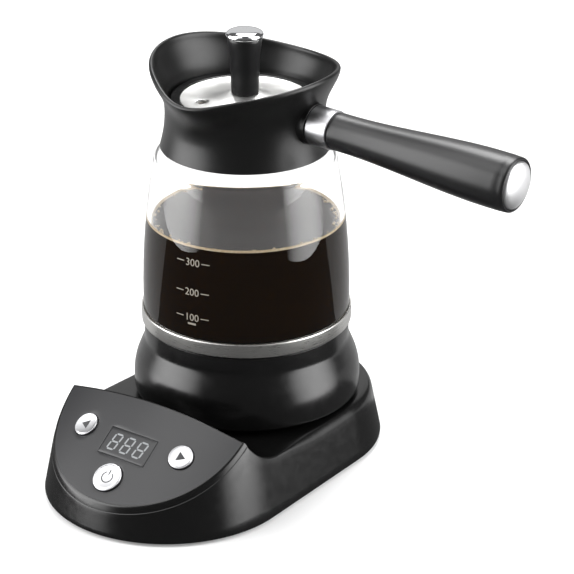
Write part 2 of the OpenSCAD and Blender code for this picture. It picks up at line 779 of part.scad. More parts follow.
module handle_grip() {
    hole = rod_r + seat_gap;
    color(black) round_handle(concat([[grip_x, hole], [grip_x, grip_r - 0.5], [grip_x + 0.5, grip_r - 0.05]],
        [for (i = [1:15]) let (t = i / 16) [grip_x + grip_len * t, grip_at(t)]],
        [[grip_end - 2.5, grip_end_r - 0.25], [grip_end - 1, grip_end_r - 0.8], [grip_end - 0.3, grip_end_r - 1.4],
         [grip_end, end_cap_r + 0.4], [grip_end - 1.2, end_cap_r + 0.15], [grip_end - 2, end_cap_r + 0.15],
         [grip_end - 2, head_bore_r], [head_x - 0.1, head_bore_r], [head_x - 0.1, hole]]));
}

module handle_rod() {
    color(steel) round_handle([[rod_start, 0], [rod_start, rod_r], [head_x, rod_r], [head_x, head_r],
        [head_x + head_len, head_r], [head_x + head_len, 0]]);
}

module handle_end_cap() {
    x0 = grip_end - 2 + seat_gap;
    color(chrome) round_handle(concat([[head_x + head_len + seat_gap, 0], [head_x + head_len + seat_gap, head_bore_r - 0.2],
        [x0, head_bore_r - 0.2],
        [x0, end_cap_r]], [for (i = [0:6]) let (a = 90 * i / 6)
            [x0 + 1.4 + 3.2 * sin(a), end_cap_r * (0.08 + 0.92 * cos(a)) * (i == 6 ? 0 : 1)]]));
}

// ---- Lid ----

lid_r = pocket_r - lid_gap;
lid_z = ledge_z + seat_gap;
plate_seat = lid_z + lid_rim_h - 1.8;
lid_plate_z = plate_seat + seat_gap;
knob_z = lid_plate_z + dome_rise + lid_t;
// Height of the lid plate's top at radius r.
function dome_at(r) = lid_plate_z + lid_t + dome_rise * (1 - pow(r / lid_plate_r, 2));

module lid_rim() {
    inner = lid_plate_r - 2;
    color(black) rotate_extrude($fn = fine) polygon([[inner, plate_seat - 1.6], [inner + 1.5, plate_seat - 2.4],
        [neck_r - 1.6, lid_z + 1.2], [neck_r - 1.6, lid_z], [lid_r, lid_z], [lid_r, lid_z + lid_rim_h - 0.8],
        [lid_r - 0.8, lid_z + lid_rim_h], [lid_plate_r + 0.8, lid_z + lid_rim_h - 0.4],
        [lid_plate_r + seat_gap, lid_z + lid_rim_h - 0.8], [lid_plate_r + seat_gap, plate_seat],
        [inner, plate_seat]]);
}

module lid_plate() {
    top = [for (i = [0:10]) let (r = lid_plate_r * i / 10) [r, dome_at(r)]];
    under = [for (p = flip(top)) [p[0], p[1] - lid_t]];
    color(steel) difference() {
        rotate_extrude($fn = fine) polygon(concat(top, under));
        translate([0, 0, lid_plate_z - 1]) cylinder(r = screw_r + 0.2, h = dome_rise + 5);
        rotate(steam_angle) translate([steam_x, 0, lid_plate_z - 1]) cylinder(d = steam_d, h = dome_rise + 5);
    }
}

module lid_seal() {
    r = neck_r - 1.6 - seat_gap;
    color(silicone) translate([0, 0, lid_z - 2.6]) difference() {
        cylinder(r = r, h = 3.8 - seat_gap);
        translate([0, 0, -1]) cylinder(r = r - 1.6, h = 6);
    }
}

// Radius of the stem at a share t of its height: slim below, flared under the cap.
function stem_at(t) = stem_r + 0.5 * ease(t * 1.8) + (cap_r - stem_r - 1.2) * ease((t - 0.6) / 0.4);

module knob_stem() {
    z0 = dome_at(stem_r) + 0.12;
    color(black) difference() {
        rotate_extrude() polygon(concat([[0, knob_z + 0.1], [stem_r * 0.4, knob_z + 0.1], [stem_r, z0 + 0.1]],
            [for (i = [1:12]) [stem_at(i / 12), z0 + (knob_z + stem_h - z0) * i / 12]], [[0, knob_z + stem_h]]));
        translate([0, 0, knob_z - 1]) cylinder(r = screw_r + seat_gap, h = 16);
        translate([0, 0, knob_z + stem_h - 4]) cylinder(r = 3, h = 5);
    }
}

module knob_cap() {
    z0 = knob_z + stem_h + seat_gap;
    color(chrome) rotate_extrude() polygon(concat(
        [[0, z0 - 3.5], [2.8, z0 - 3.5], [2.8, z0], [cap_r - 0.6, z0], [cap_r - 0.1, z0 + 0.3]],
        [for (i = [0:5]) let (a = 15 * i)
            [cap_r * pow(cos(a), 0.6), z0 + 0.8 + (cap_h - 0.8) * pow(sin(a), 0.9)]], [[0, z0 + cap_h]]));
}

module knob_screw() {
    z0 = lid_plate_z + dome_rise;
    color(steel) {
        translate([0, 0, z0 - 2.2]) cylinder(r = 2 * screw_r, h = 2);
        translate([0, 0, z0 - 1]) cylinder(r = screw_r, h = 14);
    }
}

base_shell();
base_plate();
rubber_feet();
base_screws();
cord_gland();
control_panel();
display_window();
led_display();
control_board();
board_screws();
tact_switches();
power_button();
left_button();
right_button();
power_board();
relay();
transformer();
base_connector();
contact_rings();
pot_housing();
pot_underplate();
pot_screws();
pot_connector();
heating_element();
temperature_sensor();
heating_plate();
plate_gasket();
metal_ring();
glass_body();
collar_gasket();
collar();
handle_ferrule();
handle_grip();
handle_rod();
handle_end_cap();
lid_rim();
lid_plate();
lid_seal();
knob_stem();
knob_cap();
knob_screw();
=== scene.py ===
import math

import bpy
import bmesh
import numpy as np
from mathutils import Matrix, Vector
from mathutils.geometry import delaunay_2d_cdt


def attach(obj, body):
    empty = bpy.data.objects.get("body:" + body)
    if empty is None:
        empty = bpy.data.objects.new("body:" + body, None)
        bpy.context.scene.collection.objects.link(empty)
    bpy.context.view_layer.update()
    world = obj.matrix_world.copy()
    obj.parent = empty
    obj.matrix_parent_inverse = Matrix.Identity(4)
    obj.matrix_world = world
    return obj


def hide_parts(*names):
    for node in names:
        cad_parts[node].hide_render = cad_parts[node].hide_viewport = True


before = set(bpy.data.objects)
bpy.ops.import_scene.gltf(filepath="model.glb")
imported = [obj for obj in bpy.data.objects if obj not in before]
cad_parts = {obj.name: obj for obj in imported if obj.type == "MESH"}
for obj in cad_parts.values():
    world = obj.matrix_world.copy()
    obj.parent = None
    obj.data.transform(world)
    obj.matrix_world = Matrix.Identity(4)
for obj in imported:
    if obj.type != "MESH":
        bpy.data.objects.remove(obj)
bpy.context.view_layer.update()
mm = 0.001
print("stage 1: packed model loaded,", len(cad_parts), "solids")


viewpoint = {"azimuth": 37.0, "elevation": 23.0, "distance": 1.2, "lookAt": (0.0217, 0.0036, 0.0861),
             "lens": 156.5, "pivotZ": 0.11}
studio = {
    "floorHex": "#DEDEDE", "floorSize": 9.0,
    "roomHex": "#FFFFFF", "roomStrength": 0.12,
    # height that the lamps turn about, and how bright a softened lamp's middle is
    "aimZ": 0.1, "peakShare": 1.45,
    # name, turn from the camera, rise, distance, width, height, watts, share of light at the upright edges
    "panels": (
        ("leftBox", -82, 16, 1.15, 1.5, 1.3, 25, 0.0),
        ("rightBox", 72, 16, 1.15, 1.3, 1.35, 24, 0.0),
        ("topLeft", -80, 64, 1.4, 0.9, 0.7, 6, 1.0),
        ("topRight", 80, 62, 1.4, 0.9, 0.6, 3.5, 1.0),
        ("backTop", 174, 60, 1.7, 0.8, 0.9, 27, 1.0),
        ("backWall", 180, 22, 1.7, 2.2, 0.9, 3.6, 1.0),
    ),
    # the pale ground behind, for reflections: distance behind the pot, width, depth, watts
    "groundCard": (0.9, 3.0, 1.7, 8),
}


def hexColour(code):
    parts = [int(code[i:i + 2], 16) / 255 for i in (1, 3, 5)]
    return tuple(p / 12.92 if p <= 0.04045 else ((p + 0.055) / 1.055) ** 2.4 for p in parts) + (1.0,)


def addNode(tree, kind, settings=(), links=()):
    node = tree.nodes.new(kind)
    for name, value in dict(settings).items():
        if isinstance(name, int) or name in node.inputs:
            node.inputs[name].default_value = value
        else:
            setattr(node, name, value)
    for name, socket in dict(links).items():
        tree.links.new(socket, node.inputs[name])
    return node


def fromCamera(turn, rise):
    # unit vector: turn is counted from the camera towards the picture's right
    a = math.radians(viewpoint["azimuth"] + turn)
    e = math.radians(rise)
    return Vector((math.sin(a) * math.cos(e), -math.cos(a) * math.cos(e), math.sin(e)))


def placeCamera():
    data = bpy.data.cameras.new("productCamera")
    data.lens = viewpoint["lens"]
    data.clip_end = 20
    camera = bpy.data.objects.new("productCamera", data)
    bpy.context.scene.collection.objects.link(camera)
    back = fromCamera(0, viewpoint["elevation"])
    camera.location = Vector((0, 0, viewpoint["pivotZ"])) + back * viewpoint["distance"]
    towards = camera.location - Vector(viewpoint["lookAt"])
    camera.rotation_mode = "QUATERNION"
    camera.rotation_quaternion = towards.to_track_quat("Z", "Y")
    bpy.context.scene.camera = camera


def hangLamp(name, width, height, watts, place, facing):
    data = bpy.data.lights.new(name, "AREA")
    data.shape, data.size, data.size_y, data.energy = "RECTANGLE", width, height, watts
    lamp = bpy.data.objects.new(name, data)
    lamp.visible_camera = False
    bpy.context.scene.collection.objects.link(lamp)
    lamp.location = place
    lamp.rotation_mode = "QUATERNION"
    lamp.rotation_quaternion = facing.to_track_quat("Z", "Y")
    return data


def softenLamp(data, edgeShare):
    # a softbox that is brightest in its middle and dims towards both upright edges
    data.use_nodes = True
    tree = data.node_tree
    place = addNode(tree, "ShaderNodeNewGeometry")
    x = addNode(tree, "ShaderNodeSeparateXYZ", {}, {0: place.outputs["Parametric"]}).outputs["X"]
    rest = addNode(tree, "ShaderNodeMath", {"operation": "SUBTRACT", 0: 1.0}, {1: x})
    hill = addNode(tree, "ShaderNodeMath", {"operation": "MULTIPLY"}, {0: x, 1: rest.outputs[0]})
    # the hill x (1 - x) is a quarter high
    spans = {"From Max": 0.25, "To Min": edgeShare, "To Max": studio["peakShare"]}
    glow = addNode(tree, "ShaderNodeMapRange", spans, {"Value": hill.outputs[0]})
    tree.links.new(glow.outputs[0], tree.nodes["Emission"].inputs["Strength"])


def placeLights():
    aim = Vector((0, 0, studio["aimZ"]))
    for name, turn, rise, distance, width, height, watts, edgeShare in studio["panels"]:
        away = fromCamera(turn, rise)
        data = hangLamp(name, width, height, watts, aim + away * distance, away)
        if edgeShare < 1:
            softenLamp(data, edgeShare)
    distance, width, depth, watts = studio["groundCard"]
    behind = fromCamera(180, 0) * distance - Vector((0, 0, 0.003))
    hangLamp("groundCard", width, depth, watts, behind, Vector((0, 0, -1)))
    lie = Matrix.Rotation(math.radians(viewpoint["azimuth"]), 4, "Z") @ Matrix.Rotation(math.pi, 4, "X")
    bpy.data.objects["groundCard"].rotation_quaternion = lie.to_quaternion()
    world = bpy.data.worlds.new("paleRoom")
    world.use_nodes = True
    sky = world.node_tree.nodes["Background"]
    sky.inputs["Color"].default_value = hexColour(studio["roomHex"])
    sky.inputs["Strength"].default_value = studio["roomStrength"]
    bpy.context.scene.world = world
    bpy.context.scene.view_settings.view_transform = "Standard"


placeCamera()
placeLights()
print("stage 2: camera and lights placed")


def startMaterial(name, colour, roughness, metallic=0.0, **sockets):
    material = bpy.data.materials.new(name)
    material.use_nodes = True
    tree = material.node_tree
    shader = tree.nodes["Principled BSDF"]
    shader.inputs["Base Color"].default_value = hexColour(colour)
    shader.inputs["Roughness"].default_value = roughness
    shader.inputs["Metallic"].default_value = metallic
    for label, value in sockets.items():
        shader.inputs[label].default_value = value
    return material, tree, shader


def grainOn(tree, shader, grainMm, depthMm, roughLow=None, roughHigh=None, stretch=(1, 1, 1), detail=2.0):
    # surface grain of a real size: a bump and, where asked for, a spread of roughness
    place = addNode(tree, "ShaderNodeTexCoord")
    turned = addNode(tree, "ShaderNodeMapping", {"Scale": stretch}, {"Vector": place.outputs["Object"]})
    noise = addNode(tree, "ShaderNodeTexNoise", {"Scale": 1 / (grainMm * mm), "Detail": detail},
                    {"Vector": turned.outputs[0]})
    bump = addNode(tree, "ShaderNodeBump", {"Strength": 1.0, "Distance": depthMm * mm},
                   {"Height": noise.outputs["Fac"]})
    tree.links.new(bump.outputs[0], shader.inputs["Normal"])
    if roughLow is not None:
        spans = {"From Min": 0.3, "From Max": 0.7, "To Min": roughLow, "To Max": roughHigh}
        spread = addNode(tree, "ShaderNodeMapRange", spans, {"Value": noise.outputs["Fac"]})
        tree.links.new(spread.outputs[0], shader.inputs["Roughness"])


def makeGlossAbs():
    # high-gloss injection-moulded ABS: deep black, clear reflections, a faint orange peel 4 mm across
    material, tree, shader = startMaterial("glossAbs", "#0A0A0A", 0.22, IOR=1.5)
    grainOn(tree, shader, 4.0, 0.008, 0.2, 0.25, detail=1.0)
    return material


def makeSatinAbs():
    # satin ABS of the collar: the same black with a finer spark texture, so its reflections are broad and dim
    material, tree, shader = startMaterial("satinAbs", "#0C0C0C", 0.33, IOR=1.45)
    grainOn(tree, shader, 0.8, 0.004, 0.3, 0.37)
    return material


def makeSatinPhenolic():
    # compression-moulded phenolic for handle and knob: black, softer reflections, a 0.6 mm grain
    material, tree, shader = startMaterial("satinPhenolic", "#121213", 0.34, IOR=1.5)
    grainOn(tree, shader, 0.6, 0.006, 0.31, 0.38)
    return material


def makeMattAbs():
    # spark-eroded ABS for plates that are out of the way: dull black with a 0.4 mm texture
    material, tree, shader = startMaterial("texturedAbs", "#1C1C1C", 0.55, IOR=1.5)
    grainOn(tree, shader, 0.4, 0.03, 0.5, 0.65)
    return material


def makePanelFilm():
    # back-printed polycarbonate film: charcoal, satin, a 0.3 mm tooth that spreads the light evenly
    material, tree, shader = startMaterial("charcoalFilm", "#1D1D1F", 0.32, IOR=1.5)
    grainOn(tree, shader, 0.3, 0.004, 0.29, 0.35)
    return material


def makeSmokedAcrylic():
    # hard-coated tinted acrylic pane: as dark and as satin as the film round it, so it only shows when lit
    material, tree, shader = startMaterial("smokedAcrylic", "#1B1B1D", 0.32, IOR=1.5)
    grainOn(tree, shader, 0.3, 0.004, 0.29, 0.35)
    return material


def makeBrushedSteel():
    # brushed stainless band: fine lines that run round the pot, drawn 0.35 mm wide so that they show
    material, tree, shader = startMaterial("brushedStainless", "#D2D1CE", 0.3, 1.0, Anisotropic=0.4)
    grainOn(tree, shader, 0.35, 0.0015, 0.26, 0.34, stretch=(0.05, 0.05, 1))
    return material


def makePolishedSteel():
    # soft-polished stainless lid: bright and evenly lit, with a faint 8 mm waviness from spinning
    material, tree, shader = startMaterial("polishedStainless", "#E6E6E4", 0.36, 1.0)
    grainOn(tree, shader, 8.0, 0.02, 0.33, 0.4, detail=1.0)
    return material


def makeChrome():
    # bright chrome plating: almost a mirror
    material, tree, shader = startMaterial("brightChrome", "#E9EAEC", 0.07, 1.0)
    grainOn(tree, shader, 5.0, 0.006, 0.05, 0.1, detail=1.0)
    return material


def makeSatinChrome():
    # satin nickel-chrome on the buttons: pale, evenly diffused
    material, tree, shader = startMaterial("satinChrome", "#BEBEC0", 0.34, 1.0)
    grainOn(tree, shader, 0.25, 0.004, 0.3, 0.4)
    return material


def makeSpunAluminium():
    # turned aluminium end cap: rings about the handle's axis, drawn 0.9 mm apart so that they show
    material, tree, shader = startMaterial("turnedAluminium", "#EEEEEF", 0.4, 1.0)
    ringMm = 0.9
    middle = (handleSizes["ferruleX"] * mm, 0, handleSizes["z"] * mm)
    droop = (0, math.radians(handleSizes["droop"]), 0)
    place = addNode(tree, "ShaderNodeTexCoord")
    onCap = {"vector_type": "TEXTURE", "Location": middle, "Rotation": droop}
    turned = addNode(tree, "ShaderNodeMapping", onCap, {"Vector": place.outputs["Object"]})
    lines = {"wave_type": "RINGS", "rings_direction": "X", "Scale": 1 / (ringMm * mm) / math.pi,
             "Distortion": 1.2, "Detail Scale": 4.0}
    rings = addNode(tree, "ShaderNodeTexWave", lines, {"Vector": turned.outputs[0]})
    spread = addNode(tree, "ShaderNodeMapRange", {"To Min": 0.34, "To Max": 0.48},
                     {"Value": rings.outputs["Fac"]})
    tree.links.new(spread.outputs[0], shader.inputs["Roughness"])
    bump = addNode(tree, "ShaderNodeBump", {"Strength": 1.0, "Distance": 0.005 * mm},
                   {"Height": rings.outputs["Fac"]})
    tree.links.new(bump.outputs[0], shader.inputs["Normal"])
    return material


def makeGlass():
    # blown borosilicate: clear, with slow waves 25 mm long that bend the highlights a little
    material, tree, shader = startMaterial("borosilicateGlass", "#FFFFFF", 0.0, IOR=1.474)
    shader.inputs["Transmission Weight"].default_value = 1.0
    grainOn(tree, shader, 25.0, 0.05, detail=0.0)
    return material


def makeCoffee():
    # brewed coffee: near black, red-brown where it is thin, a still wet surface
    material, tree, shader = startMaterial("brewedCoffee", "#140A04", 0.34, IOR=1.34)
    place = addNode(tree, "ShaderNodeTexCoord")
    noise = addNode(tree, "ShaderNodeTexNoise", {"Scale": 1 / (36 * mm), "Detail": 1.0},
                    {"Vector": place.outputs["Object"]})
    ramp = addNode(tree, "ShaderNodeValToRGB", {}, {"Fac": noise.outputs["Fac"]})
    ramp.color_ramp.elements[0].color = hexColour("#120903")
    ramp.color_ramp.elements[1].color = hexColour("#24140A")
    tree.links.new(ramp.outputs[0], shader.inputs["Base Color"])
    bump = addNode(tree, "ShaderNodeBump", {"Strength": 1.0, "Distance": 1.0 * mm},
                   {"Height": noise.outputs["Fac"]})
    tree.links.new(bump.outputs[0], shader.inputs["Normal"])
    return material


def makeCoffeeWall():
    # coffee seen through the glass that it wets: no surface shine of its own, only depth of colour
    material, tree, shader = startMaterial("coffeeBehindGlass", "#150900", 0.6, IOR=1.34)
    shader.inputs["Specular IOR Level"].default_value = 0.0
    grainOn(tree, shader, 18.0, 0.05, detail=1.0)
    return material


def makeCrema():
    # light foam at the coffee's edge: beige, matt, mottled by bubbles under a millimetre
    material, tree, shader = startMaterial("coffeeFoam", "#CDB997", 0.5, IOR=1.34)
    place = addNode(tree, "ShaderNodeTexCoord")
    cells = addNode(tree, "ShaderNodeTexVoronoi", {"Scale": 1 / (0.8 * mm)},
                    {"Vector": place.outputs["Object"]})
    ramp = addNode(tree, "ShaderNodeValToRGB", {}, {"Fac": cells.outputs["Distance"]})
    ramp.color_ramp.elements[0].color = hexColour("#B79B72")
    ramp.color_ramp.elements[1].color = hexColour("#E0D2B6")
    tree.links.new(ramp.outputs[0], shader.inputs["Base Color"])
    bump = addNode(tree, "ShaderNodeBump", {"Strength": 1.0, "Distance": 0.1 * mm},
                   {"Height": cells.outputs["Distance"]})
    tree.links.new(bump.outputs[0], shader.inputs["Normal"])
    return material


def makePlain(name, colour, roughness, metallic, grainMm, depthMm, spread=0.06):
    material, tree, shader = startMaterial(name, colour, roughness, metallic)
    grainOn(tree, shader, grainMm, depthMm, max(0.02, roughness - spread), roughness + spread)
    return material


def makeLitSegment():
    # light through a diffused LED segment: pale and even
    material, tree, shader = startMaterial("litSegment", "#76787A", 0.5)
    shader.inputs["Emission Color"].default_value = hexColour("#E9EDF0")
    shader.inputs["Emission Strength"].default_value = 0.13
    grainOn(tree, shader, 0.5, 0.004, 0.45, 0.55)
    return material


def makeFloor():
    # pale studio paper: matt, with a 1 mm tooth, and an even glow so that it stays pale far from the lamps
    material, tree, shader = startMaterial("studioPaper", studio["floorHex"], 0.9)
    shader.inputs["Specular IOR Level"].default_value = 0.1
    shader.inputs["Emission Color"].default_value = hexColour("#FFFFFF")
    shader.inputs["Emission Strength"].default_value = 0.2
    grainOn(tree, shader, 1.0, 0.01, 0.85, 0.95)
    return material


handleSizes = {"z": 174.6, "droop": 2.5, "ferruleX": 40.6, "ferruleLen": 11.5, "ferruleR": 9.4,
               "gripLen": 97.0, "gripR": 8.9, "gripEndR": 13.0, "capR": 11.0, "capDome": 3.15, "boreR": 2.6,
               "headR": 6.0, "headDeep": 7.1, "gap": 0.1}

finish = {
    "glossAbs": makeGlossAbs(), "satinAbs": makeSatinAbs(), "phenolic": makeSatinPhenolic(),
    "mattAbs": makeMattAbs(), "film": makePanelFilm(), "acrylic": makeSmokedAcrylic(),
    "brushed": makeBrushedSteel(), "polished": makePolishedSteel(), "chrome": makeChrome(),
    "satinChrome": makeSatinChrome(), "spun": makeSpunAluminium(), "glass": makeGlass(),
    "coffee": makeCoffee(), "coffeeWall": makeCoffeeWall(), "crema": makeCrema(),
    "segment": makeLitSegment(), "floor": makeFloor(),
    # moulded rubber, cast silicone, solder mask over glass fibre, zinc plate, contact brass,
    # die-cast aluminium, polyamide relay case, polyester winding tape, fired enamel print, black pad print
    "rubber": makePlain("mouldedRubber", "#202020", 0.75, 0, 0.5, 0.02),
    "silicone": makePlain("castSilicone", "#CFCBC1", 0.45, 0, 1.2, 0.01),
    "solderMask": makePlain("solderMask", "#1F5C3A", 0.35, 0, 1.5, 0.01),
    "zinc": makePlain("zincPlatedSteel", "#B9BCC0", 0.32, 1, 0.8, 0.008),
    "brass": makePlain("contactBrass", "#C9A255", 0.28, 1, 0.8, 0.006),
    "castAluminium": makePlain("dieCastAluminium", "#BFC1C3", 0.45, 1, 0.7, 0.02),
    "relayCase": makePlain("polyamideCase", "#2B4A78", 0.4, 0, 0.6, 0.01),
    "tape": makePlain("windingTape", "#C7A52C", 0.4, 0, 1.0, 0.01),
    "enamel": makePlain("firedEnamelPrint", "#8C857A", 0.45, 0, 0.4, 0.004),
    "ink": makePlain("padPrintInk", "#2E2E30", 0.5, 0, 0.3, 0.002),
}
print("stage 3:", len(finish), "materials made")


def buildPiece(name, part, materials, body, nodes=(), place=None, sharp=32.0, faceMaterial=None,
               recalculate=True):
    # part is (points, faces) in millimetres; place is a matrix in millimetres
    points, faces = part
    mesh = bpy.data.meshes.new(name)
    mesh.from_pydata([tuple(p) for p in points], [], faces)
    if place is not None:
        mesh.transform(place)
    mesh.transform(Matrix.Scale(mm, 4))
    for material in materials:
        mesh.materials.append(material)
    if faceMaterial is not None:
        mesh.polygons.foreach_set("material_index", faceMaterial)
    work = bmesh.new()
    work.from_mesh(mesh)
    bmesh.ops.remove_doubles(work, verts=work.verts, dist=1e-7)
    bmesh.ops.dissolve_degenerate(work, edges=work.edges, dist=1e-8)
    if recalculate:
        bmesh.ops.recalc_face_normals(work, faces=work.faces)
    work.to_mesh(mesh)
    work.free()
    mesh.shade_smooth()
    mesh.set_sharp_from_angle(angle=math.radians(sharp))
    piece = bpy.data.objects.new(name, mesh)
    bpy.context.scene.collection.objects.link(piece)
    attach(piece, body)
    if nodes:
        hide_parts(*nodes)
    return piece


def softLine(corners, steps=5):
    # corners are (r, z) or (r, z, radius); each corner with a radius is rounded
    line = []
    for i, corner in enumerate(corners):
        here = Vector(corner[:2])
        radius = corner[2] if len(corner) > 2 else 0
        if not radius:
            line.append(tuple(here))
            continue
        before, after = Vector(corners[i - 1][:2]) - here, Vector(corners[(i + 1) % len(corners)][:2]) - here
        reachIn, reachOut = min(radius, before.length * 0.49), min(radius, after.length * 0.49)
        first, last = here + before.normalized() * reachIn, here + after.normalized() * reachOut
        for k in range(steps + 1):
            t = k / steps
            line.append(tuple(first * (1 - t) ** 2 + here * 2 * t * (1 - t) + last * t * t))
    return line


def turned(line, segments=160, closed=True):
    # a line of (r, z) turned round Z; a point on the axis becomes one pole
    points, rings, faces = [], [], []
    for r, z in line:
        if r < 1e-6:
            rings.append([len(points)])
            points.append((0, 0, z))
        else:
            rings.append(list(range(len(points), len(points) + segments)))
            turns = [2 * math.pi * k / segments for k in range(segments)]
            points += [(r * math.cos(a), r * math.sin(a), z) for a in turns]
    pairs = list(zip(rings, rings[1:])) + ([(rings[-1], rings[0])] if closed else [])
    for a, b in pairs:
        for k in range(segments):
            n = (k + 1) % segments
            if len(a) == 1 and len(b) == 1:
                continue
            if len(a) == 1:
                faces.append((a[0], b[n], b[k]))
            elif len(b) == 1:
                faces.append((a[k], a[n], b[0]))
            else:
                faces.append((a[k], a[n], b[n], b[k]))
    return points, faces


def circleAt(r, count, x=0.0, y=0.0):
    turns = [2 * math.pi * k / count for k in range(count)]
    return [Vector((x + r * math.cos(a), y + r * math.sin(a))) for a in turns]


def loopEdges(start, count):
    return [(start + k, start + (k + 1) % count) for k in range(count)]


def band(a, b):
    # faces between two closed loops of as many points
    n = len(a)
    return [(a[k], b[k], b[(k + 1) % n], a[(k + 1) % n]) for k in range(n)]


def joined(*parts):
    points, faces = [], []
    for p, f in parts:
        faces += [tuple(i + len(points) for i in face) for face in f]
        points += list(p)
    return points, faces


def moved(part, matrix):
    points, faces = part
    return [tuple(matrix @ Vector(p)) for p in points], faces


def ease(t):
    t = min(1.0, max(0.0, t))
    return t * t * (3 - 2 * t)


baseSizes = {"r": 61.0, "front": 61.0, "back": 10.0, "lean": 11.5, "wall": 2.5, "footGap": 1.5, "deck": 28.0,
             "slope": 35.0, "ridgeZ": 48.7, "ridgeY": 72.5, "crownR": 210.0, "hollowR": 25.0, "panelT": 2.2,
             "panelInset": 0.2, "gap": 0.1, "edge": 0.8, "consoleEdge": 0.12, "deckEdge": 4.2,
             "seatR": 42.0, "seatHalf": 1.5, "seatH": 1.8}
leanT = math.tan(math.radians(baseSizes["lean"]))
slope = math.radians(baseSizes["slope"])
hollowLow = baseSizes["deck"] + baseSizes["hollowR"]
hollowY = baseSizes["ridgeY"] - math.sqrt(baseSizes["hollowR"] ** 2 - (hollowLow - baseSizes["ridgeZ"]) ** 2)
console = Matrix.Translation((0, -baseSizes["ridgeY"], baseSizes["ridgeZ"])) @ Matrix.Rotation(slope, 4, "X")


def crownFall(x, depth=0.0):
    return baseSizes["crownR"] - math.sqrt((baseSizes["crownR"] - depth) ** 2 - x * x)


def crownZ(x, y, depth):
    n = -crownFall(x, depth)
    along = (y + baseSizes["ridgeY"] + n * math.sin(slope)) / math.cos(slope)
    return baseSizes["ridgeZ"] + along * math.sin(slope) + n * math.cos(slope)


def overZ(y):
    d = -hollowY - y
    if d <= 0:
        return baseSizes["deck"]
    if d >= baseSizes["hollowR"]:
        return 1e3
    return hollowLow - math.sqrt(baseSizes["hollowR"] ** 2 - d * d)


def topZ(x, y, depth):
    return min(crownZ(x, y, depth), overZ(y))


def solve(low, high, f):
    # f rises from below zero to above it
    for _ in range(46):
        middle = (low + high) / 2
        if f(middle) < 0:
            low = middle
        else:
            high = middle
    return (low + high) / 2


def planAt(u):
    # one half of the outline: u runs from the front (0) over the side (1 to 2) to the back (3)
    if u <= 1:
        a = math.radians(-90 + 90 * u)
        return Vector((0, -baseSizes["front"])), Vector((math.cos(a), math.sin(a)))
    if u <= 2:
        reach = baseSizes["front"] + baseSizes["back"]
        return Vector((0, -baseSizes["front"] + (u - 1) * reach)), Vector((1, 0))
    a = math.radians(90 * (u - 2))
    return Vector((0, baseSizes["back"])), Vector((math.cos(a), math.sin(a)))


def wallPoint(u, z, side=0.0):
    centre, out = planAt(u)
    p = centre + out * (baseSizes["r"] - z * leanT - side)
    return p.x, p.y, z


def wallTop(u, depth, side=0.0):
    return solve(2.0, 60.0, lambda z: z - topZ(*wallPoint(u, z, side)[:2], depth))


def bezier(a, b, c, t):
    return a * (1 - t) ** 2 + b * 2 * t * (1 - t) + c * t * t


def shellMesh():
    sunk = baseSizes["panelT"] + baseSizes["gap"]
    edge, wall, foot = baseSizes["edge"], baseSizes["wall"], baseSizes["footGap"]
    crisp = baseSizes["consoleEdge"]
    # samples are close together where the hollow and the ridge cross the wall
    # start, samples per unit, count
    stretches = ((0, 60, 45), (0.75, 360, 91), (1, 60, 41), (1 + 2 / 3, 24, 9), (2, 60, 61))
    us = sorted(set(round(start + k / parts, 5) for start, parts, count in stretches for k in range(count)))
    columns = []
    for u in us:
        top = wallTop(u, sunk)
        x, y = wallPoint(u, top)[:2]
        corner = Vector((x, y, top))
        # the edge is crisp at the console and wide round the deck
        bend = crisp if u < 0.86 else edge + (baseSizes["deckEdge"] - edge) * ease((y + 52) / 40)
        low = Vector(wallPoint(u, top - bend))
        out = planAt(u)[1]
        qx, qy = x - out.x * bend, y - out.y * bend
        inner = Vector((qx, qy, topZ(qx, qy, sunk)))
        # from inside the wall, round its foot, up to the edge and over it
        bottom = [(8.0, wall + 0.2), (foot + 0.6, wall + 0.2), (foot, wall - 0.4), (foot, 0.7),
                  (foot + 0.2, 0.2)]
        column = [Vector(wallPoint(u, z, side)) for z, side in bottom]
        column += [Vector(wallPoint(u, foot + 0.8 + (low.z - foot - 0.8) * k / 7)) for k in range(8)]
        column += [bezier(low, corner, inner, k / 6) for k in range(1, 7)]
        columns.append(column)
    leftSide = [[Vector((-p.x, p.y, p.z)) for p in column] for column in columns]
    loop = columns + leftSide[-2:0:-1]
    n, m = len(loop), len(loop[0])
    points = [p for column in loop for p in column]
    faces = []
    for i in range(n):
        a, b = i * m, ((i + 1) % n) * m
        faces += [(a + j, b + j, b + j + 1, a + j + 1) for j in range(m - 1)]
    # rows across the top, from the inner edge on the right to the one on the left
    across = 44
    rows = []
    for i in range(1, len(us) - 1):
        right, left = loop[i][-1], leftSide[i][-1]
        row = [i * m + m - 1]
        for k in range(1, across):
            t = k / across
            x = right.x + (left.x - right.x) * t
            row.append(len(points))
            points.append(Vector((x, right.y, topZ(x, right.y, sunk))))
        row.append((n - i) * m + m - 1)
        rows.append(row)
    for a, b in zip(rows, rows[1:]):
        faces += [(a[k], a[k + 1], b[k + 1], b[k]) for k in range(across)]
    frontTip, backTip = m - 1, (len(us) - 1) * m + m - 1
    faces += [(frontTip, rows[0][k + 1], rows[0][k]) for k in range(across)]
    faces += [(backTip, rows[-1][k], rows[-1][k + 1]) for k in range(across)]
    return points, faces


